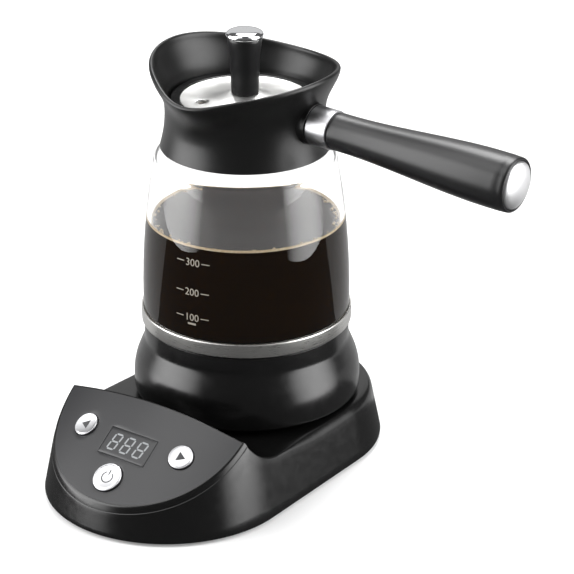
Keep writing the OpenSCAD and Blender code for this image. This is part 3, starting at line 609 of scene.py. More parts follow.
def panelEdge(depth, side, drop):
    # closed outline at a depth below the crown: side draws it in from the wall, drop from the ridge
    def wallCrown(u):
        z = solve(2.0, 60.0, lambda v: v - crownZ(*wallPoint(u, v, side)[:2], depth))
        return wallPoint(u, z, side)

    def ridgeAt(x):
        y = solve(-hollowY - baseSizes["hollowR"] + 0.02, -hollowY, lambda v: crownZ(x, v, depth) - overZ(v))
        return Vector((x, y, crownZ(x, y, depth))) + Vector((0, -math.cos(slope), -math.sin(slope))) * drop

    corner = solve(0.5, 1.2, lambda u: wallCrown(u)[1] - ridgeAt(min(56.0, wallCrown(u)[0]))[1])
    right = [Vector(wallCrown(corner * k / 70)) for k in range(71)]
    tip = right[-1]
    ridge = [ridgeAt(tip.x * (1 - k / 28)) for k in range(1, 28)]
    left = [Vector((-p.x, p.y, p.z)) for p in reversed(right[1:])]
    farRidge = [Vector((-p.x, p.y, p.z)) for p in reversed(ridge)]
    return right + ridge + [ridgeAt(0)] + farRidge + left


buttonSpots = {"left_button": (-28.3, 21.0, 12.0), "right_button": (28.3, 21.0, 12.0),
               "power_button": (0.0, 43.0, 14.5)}
window = {"s": 25.0, "w": 27.0, "h": 14.0}
panelHoles = {"buttonGap": 0.3, "paneGap": 0.1, "edge": 0.12}


def toPanel(p):
    q = console.inverted() @ p
    return Vector((q.x, q.y))


def panelMesh():
    t = baseSizes["panelT"]
    inset = baseSizes["panelInset"]
    rim, film = 0.4, 0.85
    # outline loops from the film's edge over the rounded rim and down to the back
    loops = [panelEdge(0.0, inset + film, film), panelEdge(0.0, inset + rim, rim),
             panelEdge(0.06, inset + rim * 0.5, rim * 0.5), panelEdge(0.22, inset + rim * 0.14, rim * 0.14),
             panelEdge(rim, inset, 0.0), panelEdge(t, inset, 0.0)]
    holeEdge, buttonGap, paneGap = panelHoles["edge"], panelHoles["buttonGap"], panelHoles["paneGap"]
    count = len(loops[0])
    flat = [toPanel(p) for p in loops[0]]
    edges = loopEdges(0, count)
    points2 = list(flat)
    holeLoops = []
    for x, s, d in buttonSpots.values():
        r = d / 2 + buttonGap + holeEdge
        start = len(points2)
        points2 += circleAt(r, 72, x, -s)
        edges += loopEdges(start, 72)
        holeLoops.append((start, 72))
    w, h, s = window["w"] / 2 + paneGap + holeEdge, window["h"] / 2 + paneGap + holeEdge, window["s"]
    corners = [(w, h), (-w, h), (-w, -h), (w, -h)]
    start = len(points2)
    frameLine = []
    for i, (cx, cy) in enumerate(corners):
        nx, ny = corners[(i + 1) % 4]
        frameLine += [Vector((cx + (nx - cx) * k / 12, -s + cy + (ny - cy) * k / 12)) for k in range(12)]
    points2 += frameLine
    edges += loopEdges(start, 48)
    holeLoops.append((start, 48))
    # a grid of points inside keeps the crown smooth
    step, clear = 2.0, 1.2
    for ix in range(-27, 28):
        for iy in range(-30, 3):
            q = Vector((ix * step + 0.01, iy * step + 0.01))
            if min((q - p).length for p in points2) > clear:
                points2.append(q)
    filled = delaunay_2d_cdt(points2, edges, [], 0, 1e-5)
    filledPoints, filledFaces, origins = filled[0], filled[2], filled[3]

    def inside(q):
        for x, down, d in buttonSpots.values():
            if (q - Vector((x, -down))).length < d / 2 + buttonGap - 0.02 + holeEdge:
                return False
        if abs(q.x) < w and abs(q.y + s) < h:
            return False
        crossings = False
        for k in range(count):
            a, b = flat[k], flat[(k + 1) % count]
            if (a.y > q.y) != (b.y > q.y) and q.x < (b.x - a.x) * (q.y - a.y) / (b.y - a.y) + a.x:
                crossings = not crossings
        return crossings

    points = [console @ Vector((v.x, v.y, -crownFall(v.x))) for v in filledPoints]
    faces, kinds = [], []
    for face in filledFaces:
        middle = sum((Vector(filledPoints[i]) for i in face), Vector((0, 0))) / len(face)
        if inside(middle):
            faces.append(tuple(face))
            kinds.append(0)
    # rim and back follow the outline, point for point
    place = {}
    for made, source in enumerate(origins):
        place.update((i, made) for i in source)
    ring = [place[k] for k in range(count)]
    for loop in loops[1:]:
        fresh = list(range(len(points), len(points) + count))
        points += loop
        faces += band(ring, fresh)
        kinds += [1] * count
        ring = fresh
    # hole walls
    for start, size in holeLoops:
        ring = [place[start + k] for k in range(size)]
        middle = sum((points2[start + k] for k in range(size)), Vector((0, 0))) / size
        for shrink, depth in ((holeEdge * 0.5, holeEdge * 0.1), (holeEdge * 0.1, holeEdge * 0.5),
                              (0.0, holeEdge), (0.0, t)):
            fresh = list(range(len(points), len(points) + size))
            for k in range(size):
                q = points2[start + k]
                out = q - middle
                q = middle + out * ((out.length - (holeEdge - shrink)) / out.length)
                points.append(console @ Vector((q.x, q.y, -crownFall(q.x, depth))))
            faces += [tuple(reversed(face)) for face in band(ring, fresh)]
            kinds += [1] * size
            ring = fresh
    return points, faces, kinds


def makeBase():
    inner, outer = (baseSizes["seatR"] + side * baseSizes["seatHalf"] for side in (-1, 1))
    low, high = baseSizes["deck"] - 0.5, baseSizes["deck"] + baseSizes["seatH"]
    seat = turned(softLine([(inner, low), (inner, high, 0.5), (outer, high, 0.5), (outer, low)]))
    buildPiece("baseShell", joined(shellMesh(), seat), [finish["glossAbs"]], "base", ["base_shell"],
               sharp=38)
    points, faces, kinds = panelMesh()
    buildPiece("controlPanel", (points, faces), [finish["film"], finish["glossAbs"]], "base",
               ["control_panel"], sharp=38, faceMaterial=kinds)


makeBase()
print("stage 4: base shell and panel built")


displaySizes = {"digitH": 9.1, "digitW": 5.0, "stroke": 0.85, "pitch": 7.5, "slant": 8.0, "proud": 0.03,
                "gap": 0.22}


def paneMesh():
    # the pane continues the crown, with softened edges
    w, h, s, t = window["w"] / 2, window["h"] / 2, window["s"], baseSizes["panelT"]
    points, faces = [], []
    nx, ny = 26, 10
    # how far each layer is drawn in, and how deep it lies
    layers = [(0.1, 0.0), (0.03, 0.03), (0.0, 0.1), (0.0, t)]

    def spot(i, j, draw, depth):
        x = -w + draw + (2 * w - 2 * draw) * i / nx
        y = -s - h + draw + (2 * h - 2 * draw) * j / ny
        return console @ Vector((x, y, -crownFall(x, depth)))

    top = {}
    for i in range(nx + 1):
        for j in range(ny + 1):
            top[i, j] = len(points)
            points.append(spot(i, j, *layers[0]))
    faces += [(top[i, j], top[i + 1, j], top[i + 1, j + 1], top[i, j + 1]) for i in range(nx)
              for j in range(ny)]
    around = [(i, 0) for i in range(nx)] + [(nx, j) for j in range(ny)]
    around += [(nx - i, ny - j) for i, j in around]
    ring = [top[a] for a in around]
    for draw, depth in layers[1:]:
        fresh = list(range(len(points), len(points) + len(around)))
        points += [spot(i, j, draw, depth) for i, j in around]
        faces += band(ring, fresh)
        ring = fresh
    faces.append(tuple(ring))
    return points, faces


def segmentStrip(a, b, stroke, lift):
    # one six-cornered segment from a to b, flat on the pane
    along = (b - a).normalized()
    side = Vector((-along.y, along.x)) * stroke / 2
    tip = along * stroke / 2
    outline = [a, a + tip + side, b - tip + side, b, b - tip - side, a + tip - side]
    points = []
    for z in (lift, lift - 0.06):
        points += [console @ Vector((p.x, p.y, z - crownFall(p.x))) for p in outline]
    faces = [tuple(range(6)), tuple(range(11, 5, -1))] + band(list(range(6)), list(range(6, 12)))
    return points, faces


def makeDisplay():
    buildPiece("displayPane", paneMesh(), [finish["acrylic"]], "base", ["display_window"],
               sharp=38)
    d = displaySizes
    w, h, gap = d["digitW"] / 2 - d["stroke"] / 2, d["digitH"] / 2 - d["stroke"] / 2, d["gap"]
    ends = [((-w, z), (w, z)) for z in (h, 0, -h)]
    ends += [((x, z), (x, z + h)) for z in (0, -h) for x in (-w, w)]
    parts = []
    lean = math.tan(math.radians(d["slant"]))
    for i in (-1, 0, 1):
        for a, b in ends:
            a, b = Vector(a), Vector(b)
            along = (b - a).normalized() * gap
            a, b = a + along, b - along
            shift = Vector((i * d["pitch"], -window["s"]))
            a, b = (Vector((p.x + p.y * lean, p.y)) + shift for p in (a, b))
            parts.append(segmentStrip(a, b, d["stroke"], d["proud"]))
    buildPiece("displayDigits", joined(*parts), [finish["segment"]], "base")


buttonSizes = {"proud": 1.1, "dish": 0.35, "skirt": 1.3, "stemR": 2.5, "stemEnd": -6.05, "iconLift": 0.02}


def buttonMesh(d, fall, lean):
    # the cap lies in line with the crown, its stem along the way that it moves
    r, face, skirt = d / 2, buttonSizes["proud"], buttonSizes["skirt"]
    line = softLine([(0, -skirt), (r, -skirt, 0.25), (r, face, 0.55)], 6)
    line += [((r - 0.8) * k / 8, face - buttonSizes["dish"] * (1 - (k / 8) ** 2)) for k in range(8, -1, -1)]
    cap = moved(turned(line, 96, False), Matrix.Translation((0, 0, -fall)) @ Matrix.Rotation(lean, 4, "Y"))
    low, high = buttonSizes["stemEnd"], -fall - 0.6
    return joined(cap, turned([(0, low), (buttonSizes["stemR"], low), (buttonSizes["stemR"], high),
                               (0, high)], 32, False))


def flatIcon(outlines, place, r, face):
    # thin printed shapes that follow the dish
    points, faces = [], []
    for outline in outlines:
        start = len(points)
        for lift in (buttonSizes["iconLift"], -0.05):
            for x, y in outline:
                dish = buttonSizes["dish"] * (1 - min(1, (x * x + y * y) / (r - 0.8) ** 2))
                points.append(place @ Vector((x, y, face - dish + lift)))
        n = len(outline)
        faces.append(tuple(range(start, start + n)))
        faces.append(tuple(range(start + 2 * n - 1, start + n - 1, -1)))
        faces += band(list(range(start, start + n)), list(range(start + n, start + 2 * n)))
    return points, faces


def arcBand(r0, r1, first, last, steps):
    # short four-cornered pieces of a flat ring, in degrees from first to last
    turns = [math.radians(first + (last - first) * k / steps) for k in range(steps + 1)]
    outer, inner = ([(r * math.cos(a), r * math.sin(a)) for a in turns] for r in (r1, r0))
    return [[outer[k], outer[k + 1], inner[k + 1], inner[k]] for k in range(steps)]


def makeButtons():
    bodies = {"left_button": "left_key", "right_button": "right_key", "power_button": "power_key"}
    stroke = [(-0.3, 1.2), (0.3, 1.2), (0.3, 3.9), (-0.3, 3.9)]
    icons = {
        "left_button": [[(-2.6, 0), (1.5, -2.4), (1.5, 2.4)]],
        "right_button": [[(2.6, 0), (-1.5, 2.4), (-1.5, -2.4)]],
        "power_button": arcBand(2.5, 3.1, 125, 415, 30) + [stroke],
    }
    for node, (x, s, d) in buttonSpots.items():
        place = console @ Matrix.Translation((x, -s, 0))
        fall, lean = crownFall(x), math.asin(x / baseSizes["crownR"])
        name = node.split("_")[0] + "Button"
        buildPiece(name, buttonMesh(d, fall, lean), [finish["satinChrome"]], bodies[node], [node],
                   place=place, sharp=40)
        leaning = place @ Matrix.Translation((0, 0, -fall)) @ Matrix.Rotation(lean, 4, "Y")
        mark = flatIcon(icons[node], leaning, d / 2, buttonSizes["proud"])
        buildPiece(name + "Mark", mark, [finish["ink"]], bodies[node])


makeDisplay()
makeButtons()
print("stage 5: display and buttons built")


potSizes = {"z": 30.2, "housingR": 55.3, "neckR": 49.8, "neckH": 10.5, "footH": 14.0, "round": 4.0,
            "wall": 2.4, "shelfR": 43.5, "plateR": 46.0, "ringZ": 67.5, "ringH": 7.0}
glassSizes = {"r": 50.0, "wall": 2.4, "barrelZ": 80.0, "barrelR": 385.0, "shoulderZ": 148.5,
              "shoulderTop": 156.0, "neckR": 34.4, "neckTop": 169.4, "foot": 69.9}
coffeeSizes = {"level": 119.8, "low": 74.1, "wet": 0.12, "foamW": 1.3, "foamH": 1.1,
               "bubbleIn": 0.93, "bubbleOut": 0.985}


def glassAt(z):
    g = glassSizes
    if z < g["barrelZ"]:
        return g["r"]
    return g["r"] - g["barrelR"] + math.sqrt(g["barrelR"] ** 2 - (z - g["barrelZ"]) ** 2)


def makeHousing():
    p = potSizes
    z, wall, foot = p["z"], p["wall"], p["plateR"] + 0.3
    wide, neck, shelf = p["housingR"], p["neckR"], p["shelfR"]
    crease, swell, top = p["ringZ"] - p["neckH"], z + p["footH"], p["ringZ"] - 0.6
    outer = [(foot, z, 0.3), (wide, z, p["round"]), (wide, swell + 0.6, 6.5), (neck + 0.3, crease, 1.6),
             (neck, crease + 1.6, 1.0), (neck, top, 0.3), (shelf, top)]
    inner = [(shelf, top - wall), (neck - wall, top - wall), (neck - wall, crease), (wide - wall, swell - 1),
             (wide - wall, z + 5), (foot, z + 3.2)]
    line = softLine(outer + inner, 8)
    buildPiece("potHousing", turned(line, 200), [finish["glossAbs"]], "pot", ["pot_housing"],
               sharp=30)
    outside, inside = glassSizes["r"] + 1, glassSizes["r"] + 0.12
    low, high = p["ringZ"], p["ringZ"] + p["ringH"]
    line = softLine([(shelf + 0.5, low), (outside, low, 0.7), (outside, high, 0.9), (inside, high, 0.2),
                     (inside, low + 1), (shelf + 0.5, low + 1)], 5)
    buildPiece("metalRing", turned(line, 200), [finish["brushed"]], "pot", ["metal_ring"],
               sharp=35)


def glassLine():
    g = glassSizes
    r, w, foot, neck, rim = g["r"], g["wall"], g["foot"], g["neckR"], g["neckTop"]
    shoulder, shoulderTop = g["shoulderZ"], g["shoulderTop"]
    reach, rise = glassAt(shoulder) - neck, shoulderTop - shoulder
    outer = [(r - 0.6, foot), (r - 0.15, foot + 0.2), (r, foot + 0.7)]
    outer += [(glassAt(z), z) for z in np.linspace(g["barrelZ"], shoulder, 30)]
    turns = np.linspace(0.1, math.pi / 2 - 0.03, 12)
    outer += [(neck + reach * math.cos(a), shoulder + rise * math.sin(a)) for a in turns]
    outer += [(neck, shoulderTop + 0.6), (neck, rim - 0.8), (neck - 0.35, rim - 0.2), (neck - 1.2, rim)]
    inner = [(neck - 2.05, rim - 0.2), (neck - w, rim - 0.8), (neck - w, shoulderTop - w + 0.6)]
    inner += [(neck - w + reach * math.cos(a), shoulder + (rise - w) * math.sin(a)) for a in turns[::-1]]
    inner += [(glassAt(z) - w, z) for z in np.linspace(shoulder, g["barrelZ"], 30)]
    inner += [(r - w, foot + 0.7), (r - w + 0.15, foot + 0.2), (r - w + 0.6, foot)]
    return outer + inner


def makeGlassware():
    buildPiece("glassBody", turned(glassLine(), 200), [finish["glass"]], "pot", ["glass_body"],
               sharp=60)
    c, w = coffeeSizes, glassSizes["wall"]
    line = [(0, c["low"]), (glassAt(c["low"]) - w + c["wet"] - 0.3, c["low"])]
    line += [(glassAt(z) - w + c["wet"], z) for z in np.linspace(c["low"] + 0.3, c["level"], 16)]
    edge = glassAt(c["level"]) - w
    line.append((edge - 0.6, c["level"] - 0.05))
    line += [(edge * k / 12, c["level"] - 0.25) for k in range(11, -1, -1)]
    points, faces = turned(line, 200, False)
    onTop = [0 if min(points[i][2] for i in face) > c["level"] - 0.3 else 1 for face in faces]
    buildPiece("coffeeFill", (points, faces), [finish["coffee"], finish["coffeeWall"]], "pot",
               sharp=30, faceMaterial=onTop)
    # foam that creeps up the glass at the edge
    level, outside = c["level"], edge + c["wet"] + 0.02
    line = softLine([(edge - c["foamW"], level - 0.3, 0.2), (edge - 0.4, level + c["foamH"] * 0.55, 0.5),
                     (outside, level + c["foamH"], 0.15), (outside, level - 0.5)], 5)
    buildPiece("coffeeFoam", turned(line, 200), [finish["crema"]], "pot", sharp=60)


def bubbleTree():
    # Geometry Nodes: bubbles of mixed size round a circle, with a fixed seed
    tree = bpy.data.node_groups.new("foamBubbles", "GeometryNodeTree")
    tree.is_modifier = True
    given = (("Radius", "Float", 0.045), ("Height", "Float", 0.119), ("Count", "Int", 80),
             ("Smallest", "Float", 0.0003), ("Largest", "Float", 0.0009), ("Seed", "Int", 7))
    for label, kind, value in given:
        socket = tree.interface.new_socket(label, in_out="INPUT", socket_type="NodeSocket" + kind)
        socket.default_value = value
    tree.interface.new_socket("Material", in_out="INPUT", socket_type="NodeSocketMaterial")
    tree.interface.new_socket("Geometry", in_out="OUTPUT", socket_type="NodeSocketGeometry")
    out = addNode(tree, "NodeGroupInput").outputs
    scatter = addNode(tree, "FunctionNodeRandomValue", {"data_type": "FLOAT"}, {"Seed": out["Seed"]})
    scatter.inputs[2].default_value, scatter.inputs[3].default_value = 0.0, 2 * math.pi
    # bubbles sit close inside the glass
    inward = addNode(tree, "FunctionNodeRandomValue", {"data_type": "FLOAT"}, {})
    inward.inputs[2].default_value = coffeeSizes["bubbleIn"]
    inward.inputs[3].default_value = coffeeSizes["bubbleOut"]
    inward.inputs["Seed"].default_value = 21
    reach = addNode(tree, "ShaderNodeMath", {"operation": "MULTIPLY"},
                    {0: out["Radius"], 1: inward.outputs[1]})
    cosine = addNode(tree, "ShaderNodeMath", {"operation": "COSINE"}, {0: scatter.outputs[1]})
    sine = addNode(tree, "ShaderNodeMath", {"operation": "SINE"}, {0: scatter.outputs[1]})
    across = addNode(tree, "ShaderNodeMath", {"operation": "MULTIPLY"},
                     {0: reach.outputs[0], 1: cosine.outputs[0]})
    along = addNode(tree, "ShaderNodeMath", {"operation": "MULTIPLY"},
                    {0: reach.outputs[0], 1: sine.outputs[0]})
    spot = addNode(tree, "ShaderNodeCombineXYZ", {},
                   {"X": across.outputs[0], "Y": along.outputs[0], "Z": out["Height"]})
    dots = addNode(tree, "GeometryNodePoints", {}, {"Count": out["Count"], "Position": spot.outputs[0]})
    size = addNode(tree, "FunctionNodeRandomValue", {"data_type": "FLOAT"},
                   {2: out["Smallest"], 3: out["Largest"]})
    size.inputs["Seed"].default_value = 5
    bubble = addNode(tree, "GeometryNodeMeshIcoSphere", {"Radius": 1.0, "Subdivisions": 2})
    spread = addNode(tree, "GeometryNodeInstanceOnPoints", {},
                     {"Points": dots.outputs[0], "Instance": bubble.outputs[0], "Scale": size.outputs[1]})
    real = addNode(tree, "GeometryNodeRealizeInstances", {}, {"Geometry": spread.outputs[0]})
    painted = addNode(tree, "GeometryNodeSetMaterial", {},
                      {"Geometry": real.outputs[0], "Material": out["Material"]})
    last = addNode(tree, "NodeGroupOutput")
    tree.links.new(painted.outputs[0], last.inputs[0])
    return tree


def fromNodes(name, tree, values, body):
    # runs a Geometry Nodes tree once and keeps its result as a plain mesh
    mesh = bpy.data.meshes.new(name + "Seed")
    carrier = bpy.data.objects.new(name + "Seed", mesh)
    bpy.context.scene.collection.objects.link(carrier)
    modifier = carrier.modifiers.new("nodes", "NODES")
    modifier.node_group = tree
    sockets = {item.name: item.identifier for item in tree.interface.items_tree
               if getattr(item, "in_out", "") == "INPUT"}
    for label, value in values.items():
        modifier[sockets[label]] = value
    bpy.context.view_layer.update()
    made = bpy.data.meshes.new_from_object(carrier.evaluated_get(bpy.context.evaluated_depsgraph_get()))
    carrier.modifiers.remove(modifier)
    bpy.data.objects.remove(carrier)
    made.name = name
    made.shade_smooth()
    piece = bpy.data.objects.new(name, made)
    bpy.context.scene.collection.objects.link(piece)
    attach(piece, body)
    return piece


markSizes = {"angle": -84.0, "textH": 3.6, "dash": 4.2, "dashH": 0.45, "lift": 0.03,
             "rows": ((113.1, "300"), (98.4, "200"), (85.6, "100")), "barZ": 82.2, "barHalf": 2.2}


def wrapped(points2, z, lift):
    # flat (across, up) points laid on the glass
    placed = []
    for u, v in points2:
        height = z + v
        r = glassAt(height) + lift
        a = math.radians(markSizes["angle"]) + u / glassAt(z)
        placed.append((r * math.cos(a), r * math.sin(a), height))
    return placed


def numberMesh(text, height):
    # plain figures, filled as a flat mesh and returned as points and faces in millimetres
    curve = bpy.data.curves.new("figures", "FONT")
    curve.body, curve.size, curve.align_x, curve.resolution_u = text, height / 0.7, "CENTER", 3
    holder = bpy.data.objects.new("figures", curve)
    bpy.context.scene.collection.objects.link(holder)
    mesh = bpy.data.meshes.new_from_object(holder.evaluated_get(bpy.context.evaluated_depsgraph_get()))
    work = bmesh.new()
    work.from_mesh(mesh)
    bmesh.ops.triangulate(work, faces=work.faces)
    points = [(v.co.x, v.co.y - height / 2) for v in work.verts]
    faces = [tuple(v.index for v in f.verts) for f in work.faces]
    work.free()
    bpy.data.objects.remove(holder)
    bpy.data.curves.remove(curve)
    bpy.data.meshes.remove(mesh)
    return points, faces


def strip(across, half, z):
    # a printed dash: flat quads side by side, laid on the glass
    flat = [(u, v) for u in across for v in (-half, half)]
    faces = [(2 * k, 2 * k + 2, 2 * k + 3, 2 * k + 1) for k in range(len(across) - 1)]
    return wrapped(flat, z, markSizes["lift"]), faces


def makeMarks():
    m = markSizes
    parts = []
    for z, text in m["rows"]:
        flat, faces = numberMesh(text, m["textH"])
        half = max(abs(p[0]) for p in flat) + 1.0
        parts.append((wrapped(flat, z, m["lift"]), faces))
        for side in (-1, 1):
            across = [side * (half + m["dash"] * k / 6) for k in range(7)]
            parts.append(strip(across, m["dashH"] / 2, z))
    parts.append(strip(np.linspace(-m["barHalf"], m["barHalf"], 5), 0.5, m["barZ"]))
    points, faces = joined(*parts)
    # turn each face outwards
    fixed = []
    for face in faces:
        a, b, c = (Vector(points[i]) for i in face[:3])
        normal = (b - a).cross(c - a)
        fixed.append(face if normal.dot(Vector((a.x, a.y, 0))) > 0 else tuple(reversed(face)))
    buildPiece("cupMarks", (points, fixed), [finish["enamel"]], "pot",
               recalculate=False)


makeHousing()
makeGlassware()
bubbleRing = {"Radius": (glassAt(coffeeSizes["level"]) - glassSizes["wall"]) * mm,
              "Height": (coffeeSizes["level"] - 0.1) * mm, "Material": finish["crema"]}
fromNodes("foamBubbles", bubbleTree(), bubbleRing, "pot")
makeMarks()
print("stage 6: housing, ring, glass and coffee built")


collarSizes = {"z": 156.0, "footR": 40.6, "waistR": 38.0, "rimR": 44.9, "rimZ": 195.0, "wave": 3.25,
               "tilt": 1.6, "wall": 2.4, "lipReach": 3.6, "lipDrop": 3.5, "lipSpread": 16.0, "waistT": 0.42,
               "ledgeZ": 174.0, "ledgeR": 33.0, "ledgeT": 4.4, "pocketR": 35.6, "pocketTop": 180.5}


def lipShare(a):
    return math.exp(-((a - 270) / collarSizes["lipSpread"]) ** 2 / 2)


def rimAt(a):
    c = collarSizes
    turn = math.radians(a)
    waved = c["rimZ"] + c["wave"] * math.cos(2 * turn) - c["tilt"] * math.cos(turn)
    return waved - c["lipDrop"] * lipShare(a)


def collarAt(t, a):
    c = collarSizes
    if t < c["waistT"]:
        r = c["waistR"] + (c["footR"] - c["waistR"]) * (1 - t / c["waistT"]) ** 2
    else:
        r = c["waistR"] + (c["rimR"] - c["waistR"]) * ease(((t - c["waistT"]) / (1 - c["waistT"])) ** 1.35)
    return r + c["lipReach"] * lipShare(a) * max(0, (t - 0.3) / 0.7) ** 1.6


def collarSection(a):
    c = collarSizes
    top = rimAt(a)
    outer = [(collarAt(t, a), c["z"] + (top - c["z"]) * t) for t in np.linspace(0.02, 0.965, 26)]
    low = [(collarAt(0, a) - 0.5, c["z"]), (collarAt(0, a) - 0.12, c["z"] + 0.15)]
    rimOut, rimIn = collarAt(1, a), collarAt(1, a) - c["wall"]
    rim = [(rimOut - 0.08, top - 0.55), (rimOut - 0.35, top + 0.1), (rimOut - 0.8, top + 0.45),
           (rimOut - 1.2, top + 0.55), (rimOut - 1.65, top + 0.42), (rimIn + 0.25, top + 0.05),
           (rimIn + 0.02, top - 0.5)]
    inner = []
    for k in range(1, 14):
        z = top - 0.5 + (c["pocketTop"] - top + 0.5) * k / 13
        t = (z - c["z"]) / (top - c["z"])
        inner.append((max(c["pocketR"], collarAt(t, a) - c["wall"]), z))
    under = c["ledgeZ"] - c["ledgeT"]
    pocket = [(c["pocketR"], c["ledgeZ"] + 0.02), (c["ledgeR"], c["ledgeZ"]), (c["ledgeR"], under),
              (c["pocketR"], under), (c["pocketR"], c["z"] + 0.4), (c["pocketR"] + 0.4, c["z"])]
    return low + outer + rim + inner + pocket


def makeCollar():
    around = 180
    points, faces = [], []
    for k in range(around):
        a = 360 * k / around
        ca, sa = math.cos(math.radians(a)), math.sin(math.radians(a))
        section = collarSection(a)
        points += [(r * ca, r * sa, z) for r, z in section]
    m = len(section)
    for i in range(around):
        n = (i + 1) % around
        faces += [(i * m + j, n * m + j, n * m + (j + 1) % m, i * m + (j + 1) % m) for j in range(m)]
    h = handleSizes
    r = h["ferruleR"] + 0.4
    boss = turned(softLine([(0, -6), (h["ferruleR"] + 2.0, -6), (r, -2.6, 1.6), (r, 0, 0.3), (0, 0)], 6), 96,
                  False)
    buildPiece("pourCollar", joined((points, faces), moved(boss, onHandle)), [finish["satinAbs"]], "pot",
               ["collar"], sharp=40)


handleTurn = Matrix.Rotation(math.radians(90 + handleSizes["droop"]), 4, "Y")
onHandle = Matrix.Translation((handleSizes["ferruleX"], 0, handleSizes["z"])) @ handleTurn
makeCollar()
print("stage 7: collar built")


def gripAt(t):
    h = handleSizes
    return h["gripR"] + (h["gripEndR"] - h["gripR"]) * (ease(t * 1.2 - 0.06) - 0.35 * max(0, t - 0.82) ** 2)


def makeHandle():
    h = handleSizes
    x0, x1 = h["gap"], h["ferruleLen"]
    line = softLine([(h["boreR"], x0), (h["ferruleR"], x0, 0.6), (h["ferruleR"], x1, 0.5), (h["boreR"], x1)],
                    5)
    buildPiece("handleFerrule", turned(line, 128), [finish["satinChrome"]], "pot", ["handle_ferrule"],
               place=onHandle, sharp=40)
    g0 = x1 + h["gap"]
    g1 = g0 + h["gripLen"]
    line = [(h["boreR"], g0), (h["gripR"] - 0.8, g0), (h["gripR"] - 0.25, g0 + 0.2),
            (h["gripR"] - 0.03, g0 + 0.75)]
    line += [(gripAt(t), g0 + h["gripLen"] * t) for t in np.linspace(0.02, 0.955, 40)]
    r = h["gripEndR"]
    mouth = h["capR"] + 0.15
    line += softLine([(r - 0.12, g1 - 4.0), (r - 0.2, g1 - 0.6, 2.2), (h["capR"] + 0.9, g1 + 0.1, 0.5),
                      (mouth, g1 - 0.9, 0.3), (mouth, g1 - 2)], 6)
    line += [(h["headR"], g1 - 2), (h["headR"], g1 - h["headDeep"]), (h["boreR"], g1 - h["headDeep"])]
    buildPiece("handleGrip", turned(line, 144), [finish["phenolic"]], "pot", ["handle_grip"],
               place=onHandle, sharp=35)
    c0 = g1 - 1.9
    line = [(0, c0 - 2), (h["headR"] - 0.2, c0 - 2), (h["headR"] - 0.2, c0), (h["capR"], c0)]
    turns = np.linspace(0, math.pi / 2, 14)
    line += [(h["capR"] * (0.08 + 0.92 * math.cos(a)), c0 + 1.4 + h["capDome"] * math.sin(a))
             for a in turns[:-1]]
    line.append((0, c0 + 1.4 + h["capDome"]))
    buildPiece("handleEndCap", turned(line, 128, False), [finish["spun"]], "pot", ["handle_end_cap"],
               place=onHandle, sharp=40)


makeHandle()
print("stage 8: handle built")


lidSizes = {"z": 174.1, "r": 35.2, "rimH": 5.9, "plateR": 30.5, "plateT": 1.0, "dome": 2.6, "neckR": 34.4,
            "steamX": 21.0, "steamAngle": 228.0, "steamD": 5.0, "stemH": 27.4, "stemR": 6.5, "capR": 8.9,
            "capH": 3.4, "plugR": 2.8, "plugDeep": 3.5, "dish": 1.0, "holeGap": 0.15}
plateZ = lidSizes["z"] + lidSizes["rimH"] - 1.7
knobZ = plateZ + lidSizes["dome"] + lidSizes["plateT"]


def domeAt(r):
    return plateZ + lidSizes["plateT"] + lidSizes["dome"] * (1 - (r / lidSizes["plateR"]) ** 2)


def plateAt(r):
    # pressed sheet: it rises to the knob and turns up a little at its edge
    s = lidSizes
    if r < s["stemR"] + 0.5:
        return domeAt(r)
    t = (r - s["stemR"] - 0.5) / (s["plateR"] - s["stemR"] - 0.5)
    edge = domeAt(s["plateR"])
    return edge + (domeAt(s["stemR"] + 0.5) - edge) * (1 - t) ** 3 - s["dish"] * 6.75 * t * t * (1 - t)


def plateMesh():
    # dished sheet with a steam hole: rings of points, filled round the hole by a constrained triangulation
    s = lidSizes
    around, holeAround, rings = 144, 40, 18
    turn = math.radians(s["steamAngle"])
    holeX, holeY = s["steamX"] * math.cos(turn), s["steamX"] * math.sin(turn)
    hole, holeR = Vector((holeX, holeY)), s["steamD"] / 2 + s["holeGap"]
    points2 = circleAt(s["plateR"], around) + circleAt(holeR, holeAround, holeX, holeY)
    edges = loopEdges(0, around) + loopEdges(around, holeAround)
    for ring in range(1, rings):
        r = s["plateR"] * ring / rings
        count = max(8, int(r * 4.2))
        for k in range(count):
            a = 2 * math.pi * k / count + ring
            q = Vector((r * math.cos(a), r * math.sin(a)))
            if (q - hole).length > holeR + 0.55 and r < s["plateR"] - 0.8:
                points2.append(q)
    made = delaunay_2d_cdt(points2, edges, [], 0, 1e-6)
    flat, tris, origins = made[0], made[2], made[3]
    middles = [sum((Vector(flat[i]) for i in f), Vector((0, 0))) / len(f) for f in tris]
    keep = [f for f, q in zip(tris, middles) if (q - hole).length > holeR - 0.05
            and q.length < s["plateR"]]
    n = len(flat)
    heights = [plateAt(Vector(p[:2]).length) for p in flat]
    points = [(p[0], p[1], z) for p, z in zip(flat, heights)]
    points += [(x, y, z - s["plateT"]) for x, y, z in points]
    faces = [tuple(f) for f in keep] + [tuple(i + n for i in reversed(f)) for f in keep]
    place = {i: k for k, source in enumerate(origins) for i in source}
    for a, b in [(place[first], place[last]) for first, last in edges]:
        faces.append((a, b, b + n, a + n))
    return points, faces


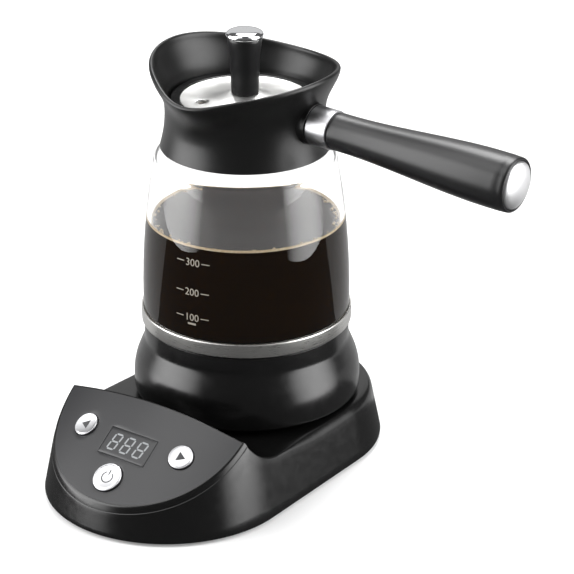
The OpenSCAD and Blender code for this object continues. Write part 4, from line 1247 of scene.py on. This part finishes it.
def makeLid():
    s = lidSizes
    z, r, plate, neck = s["z"], s["r"], s["plateR"], s["neckR"] - 1.6
    top, seat = z + s["rimH"], z + s["rimH"] - 1.8
    line = softLine([(plate - 2, seat - 1.6), (plate - 0.5, seat - 2.4, 0.4), (neck, z + 1.2), (neck, z),
                     (r, z, 0.3), (r, top, 0.9), (plate + 0.9, top - 0.35, 0.3),
                     (plate + 0.1, top - 0.9, 0.2), (plate + 0.1, seat), (plate - 2, seat)], 5)
    buildPiece("lidRim", turned(line, 180), [finish["glossAbs"]], "lid", ["lid_rim"], sharp=35)
    buildPiece("lidPlate", plateMesh(), [finish["polished"]], "lid", ["lid_plate"],
               sharp=40)


def stemAt(t):
    s = lidSizes
    return s["stemR"] + 0.5 * ease(t * 1.8) + (s["capR"] - s["stemR"] - 1.2) * ease((t - 0.6) / 0.4)


def makeKnob():
    s = lidSizes
    low = domeAt(s["stemR"]) + 0.12
    high = knobZ + s["stemH"]
    line = [(0, knobZ + 0.1), (s["stemR"] * 0.4, knobZ + 0.1), (s["stemR"] - 0.5, low),
            (s["stemR"], low + 0.5)]
    line += [(stemAt(t), low + (high - low) * t) for t in np.linspace(0.05, 0.985, 24)]
    line += [(stemAt(1) - 0.15, high - 0.1), (stemAt(1) - 0.5, high), (0, high)]
    buildPiece("knobStem", turned(line, 96, False), [finish["phenolic"]], "lid", ["knob_stem"],
               sharp=35)
    z = high + 0.1
    r, h = s["capR"], s["capH"]
    plug, deep = s["plugR"], z - s["plugDeep"]
    under = softLine([(plug, z), (r - 0.2, z, 0.4), (r, z + 0.8), (r, z + 1)], 6)
    line = [(0, deep), (plug, deep), (plug, z)] + under[1:-1]
    line += [(r * math.cos(a) ** 0.6, z + 0.8 + (h - 0.8) * math.sin(a) ** 0.9)
             for a in np.linspace(0.04, math.pi / 2 - 0.02, 26)]
    line.append((0, z + h))
    buildPiece("knobCap", turned(line, 96, False), [finish["chrome"]], "lid", ["knob_cap"],
               sharp=45)


makeLid()
makeKnob()
print("stage 9: lid and knob built")


kept = {
    "base_plate": "mattAbs", "rubber_feet": "rubber", "base_screws": "zinc", "cord_gland": "rubber",
    "led_display": "mattAbs", "control_board": "solderMask", "board_screws": "zinc",
    "tact_switches": "mattAbs", "power_board": "solderMask", "relay": "relayCase", "transformer": "tape",
    "base_connector": "mattAbs", "contact_rings": "brass", "pot_underplate": "mattAbs",
    "pot_screws": "zinc", "pot_connector": "mattAbs", "heating_element": "castAluminium",
    "temperature_sensor": "brass", "heating_plate": "brushed", "plate_gasket": "silicone",
    "collar_gasket": "silicone", "handle_rod": "zinc", "lid_seal": "silicone", "knob_screw": "zinc",
}


def finishKept():
    # solids that the scene keeps as they are get a surface finish
    for node, label in kept.items():
        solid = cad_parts[node]
        solid.data.materials.clear()
        solid.data.materials.append(finish[label])


def makeStage():
    half = studio["floorSize"] / 2
    mesh = bpy.data.meshes.new("studioFloor")
    mesh.from_pydata([(-half, -half, 0), (half, -half, 0), (half, half, 0), (-half, half, 0)], [],
                     [(0, 1, 2, 3)])
    mesh.materials.append(finish["floor"])
    floor = bpy.data.objects.new("studioFloor", mesh)
    bpy.context.scene.collection.objects.link(floor)
    floor.visible_shadow = False
    # a cut-out ground: the black gloss shows the dark room in front, as in a light tent
    floor.visible_glossy = False


finishKept()
makeStage()
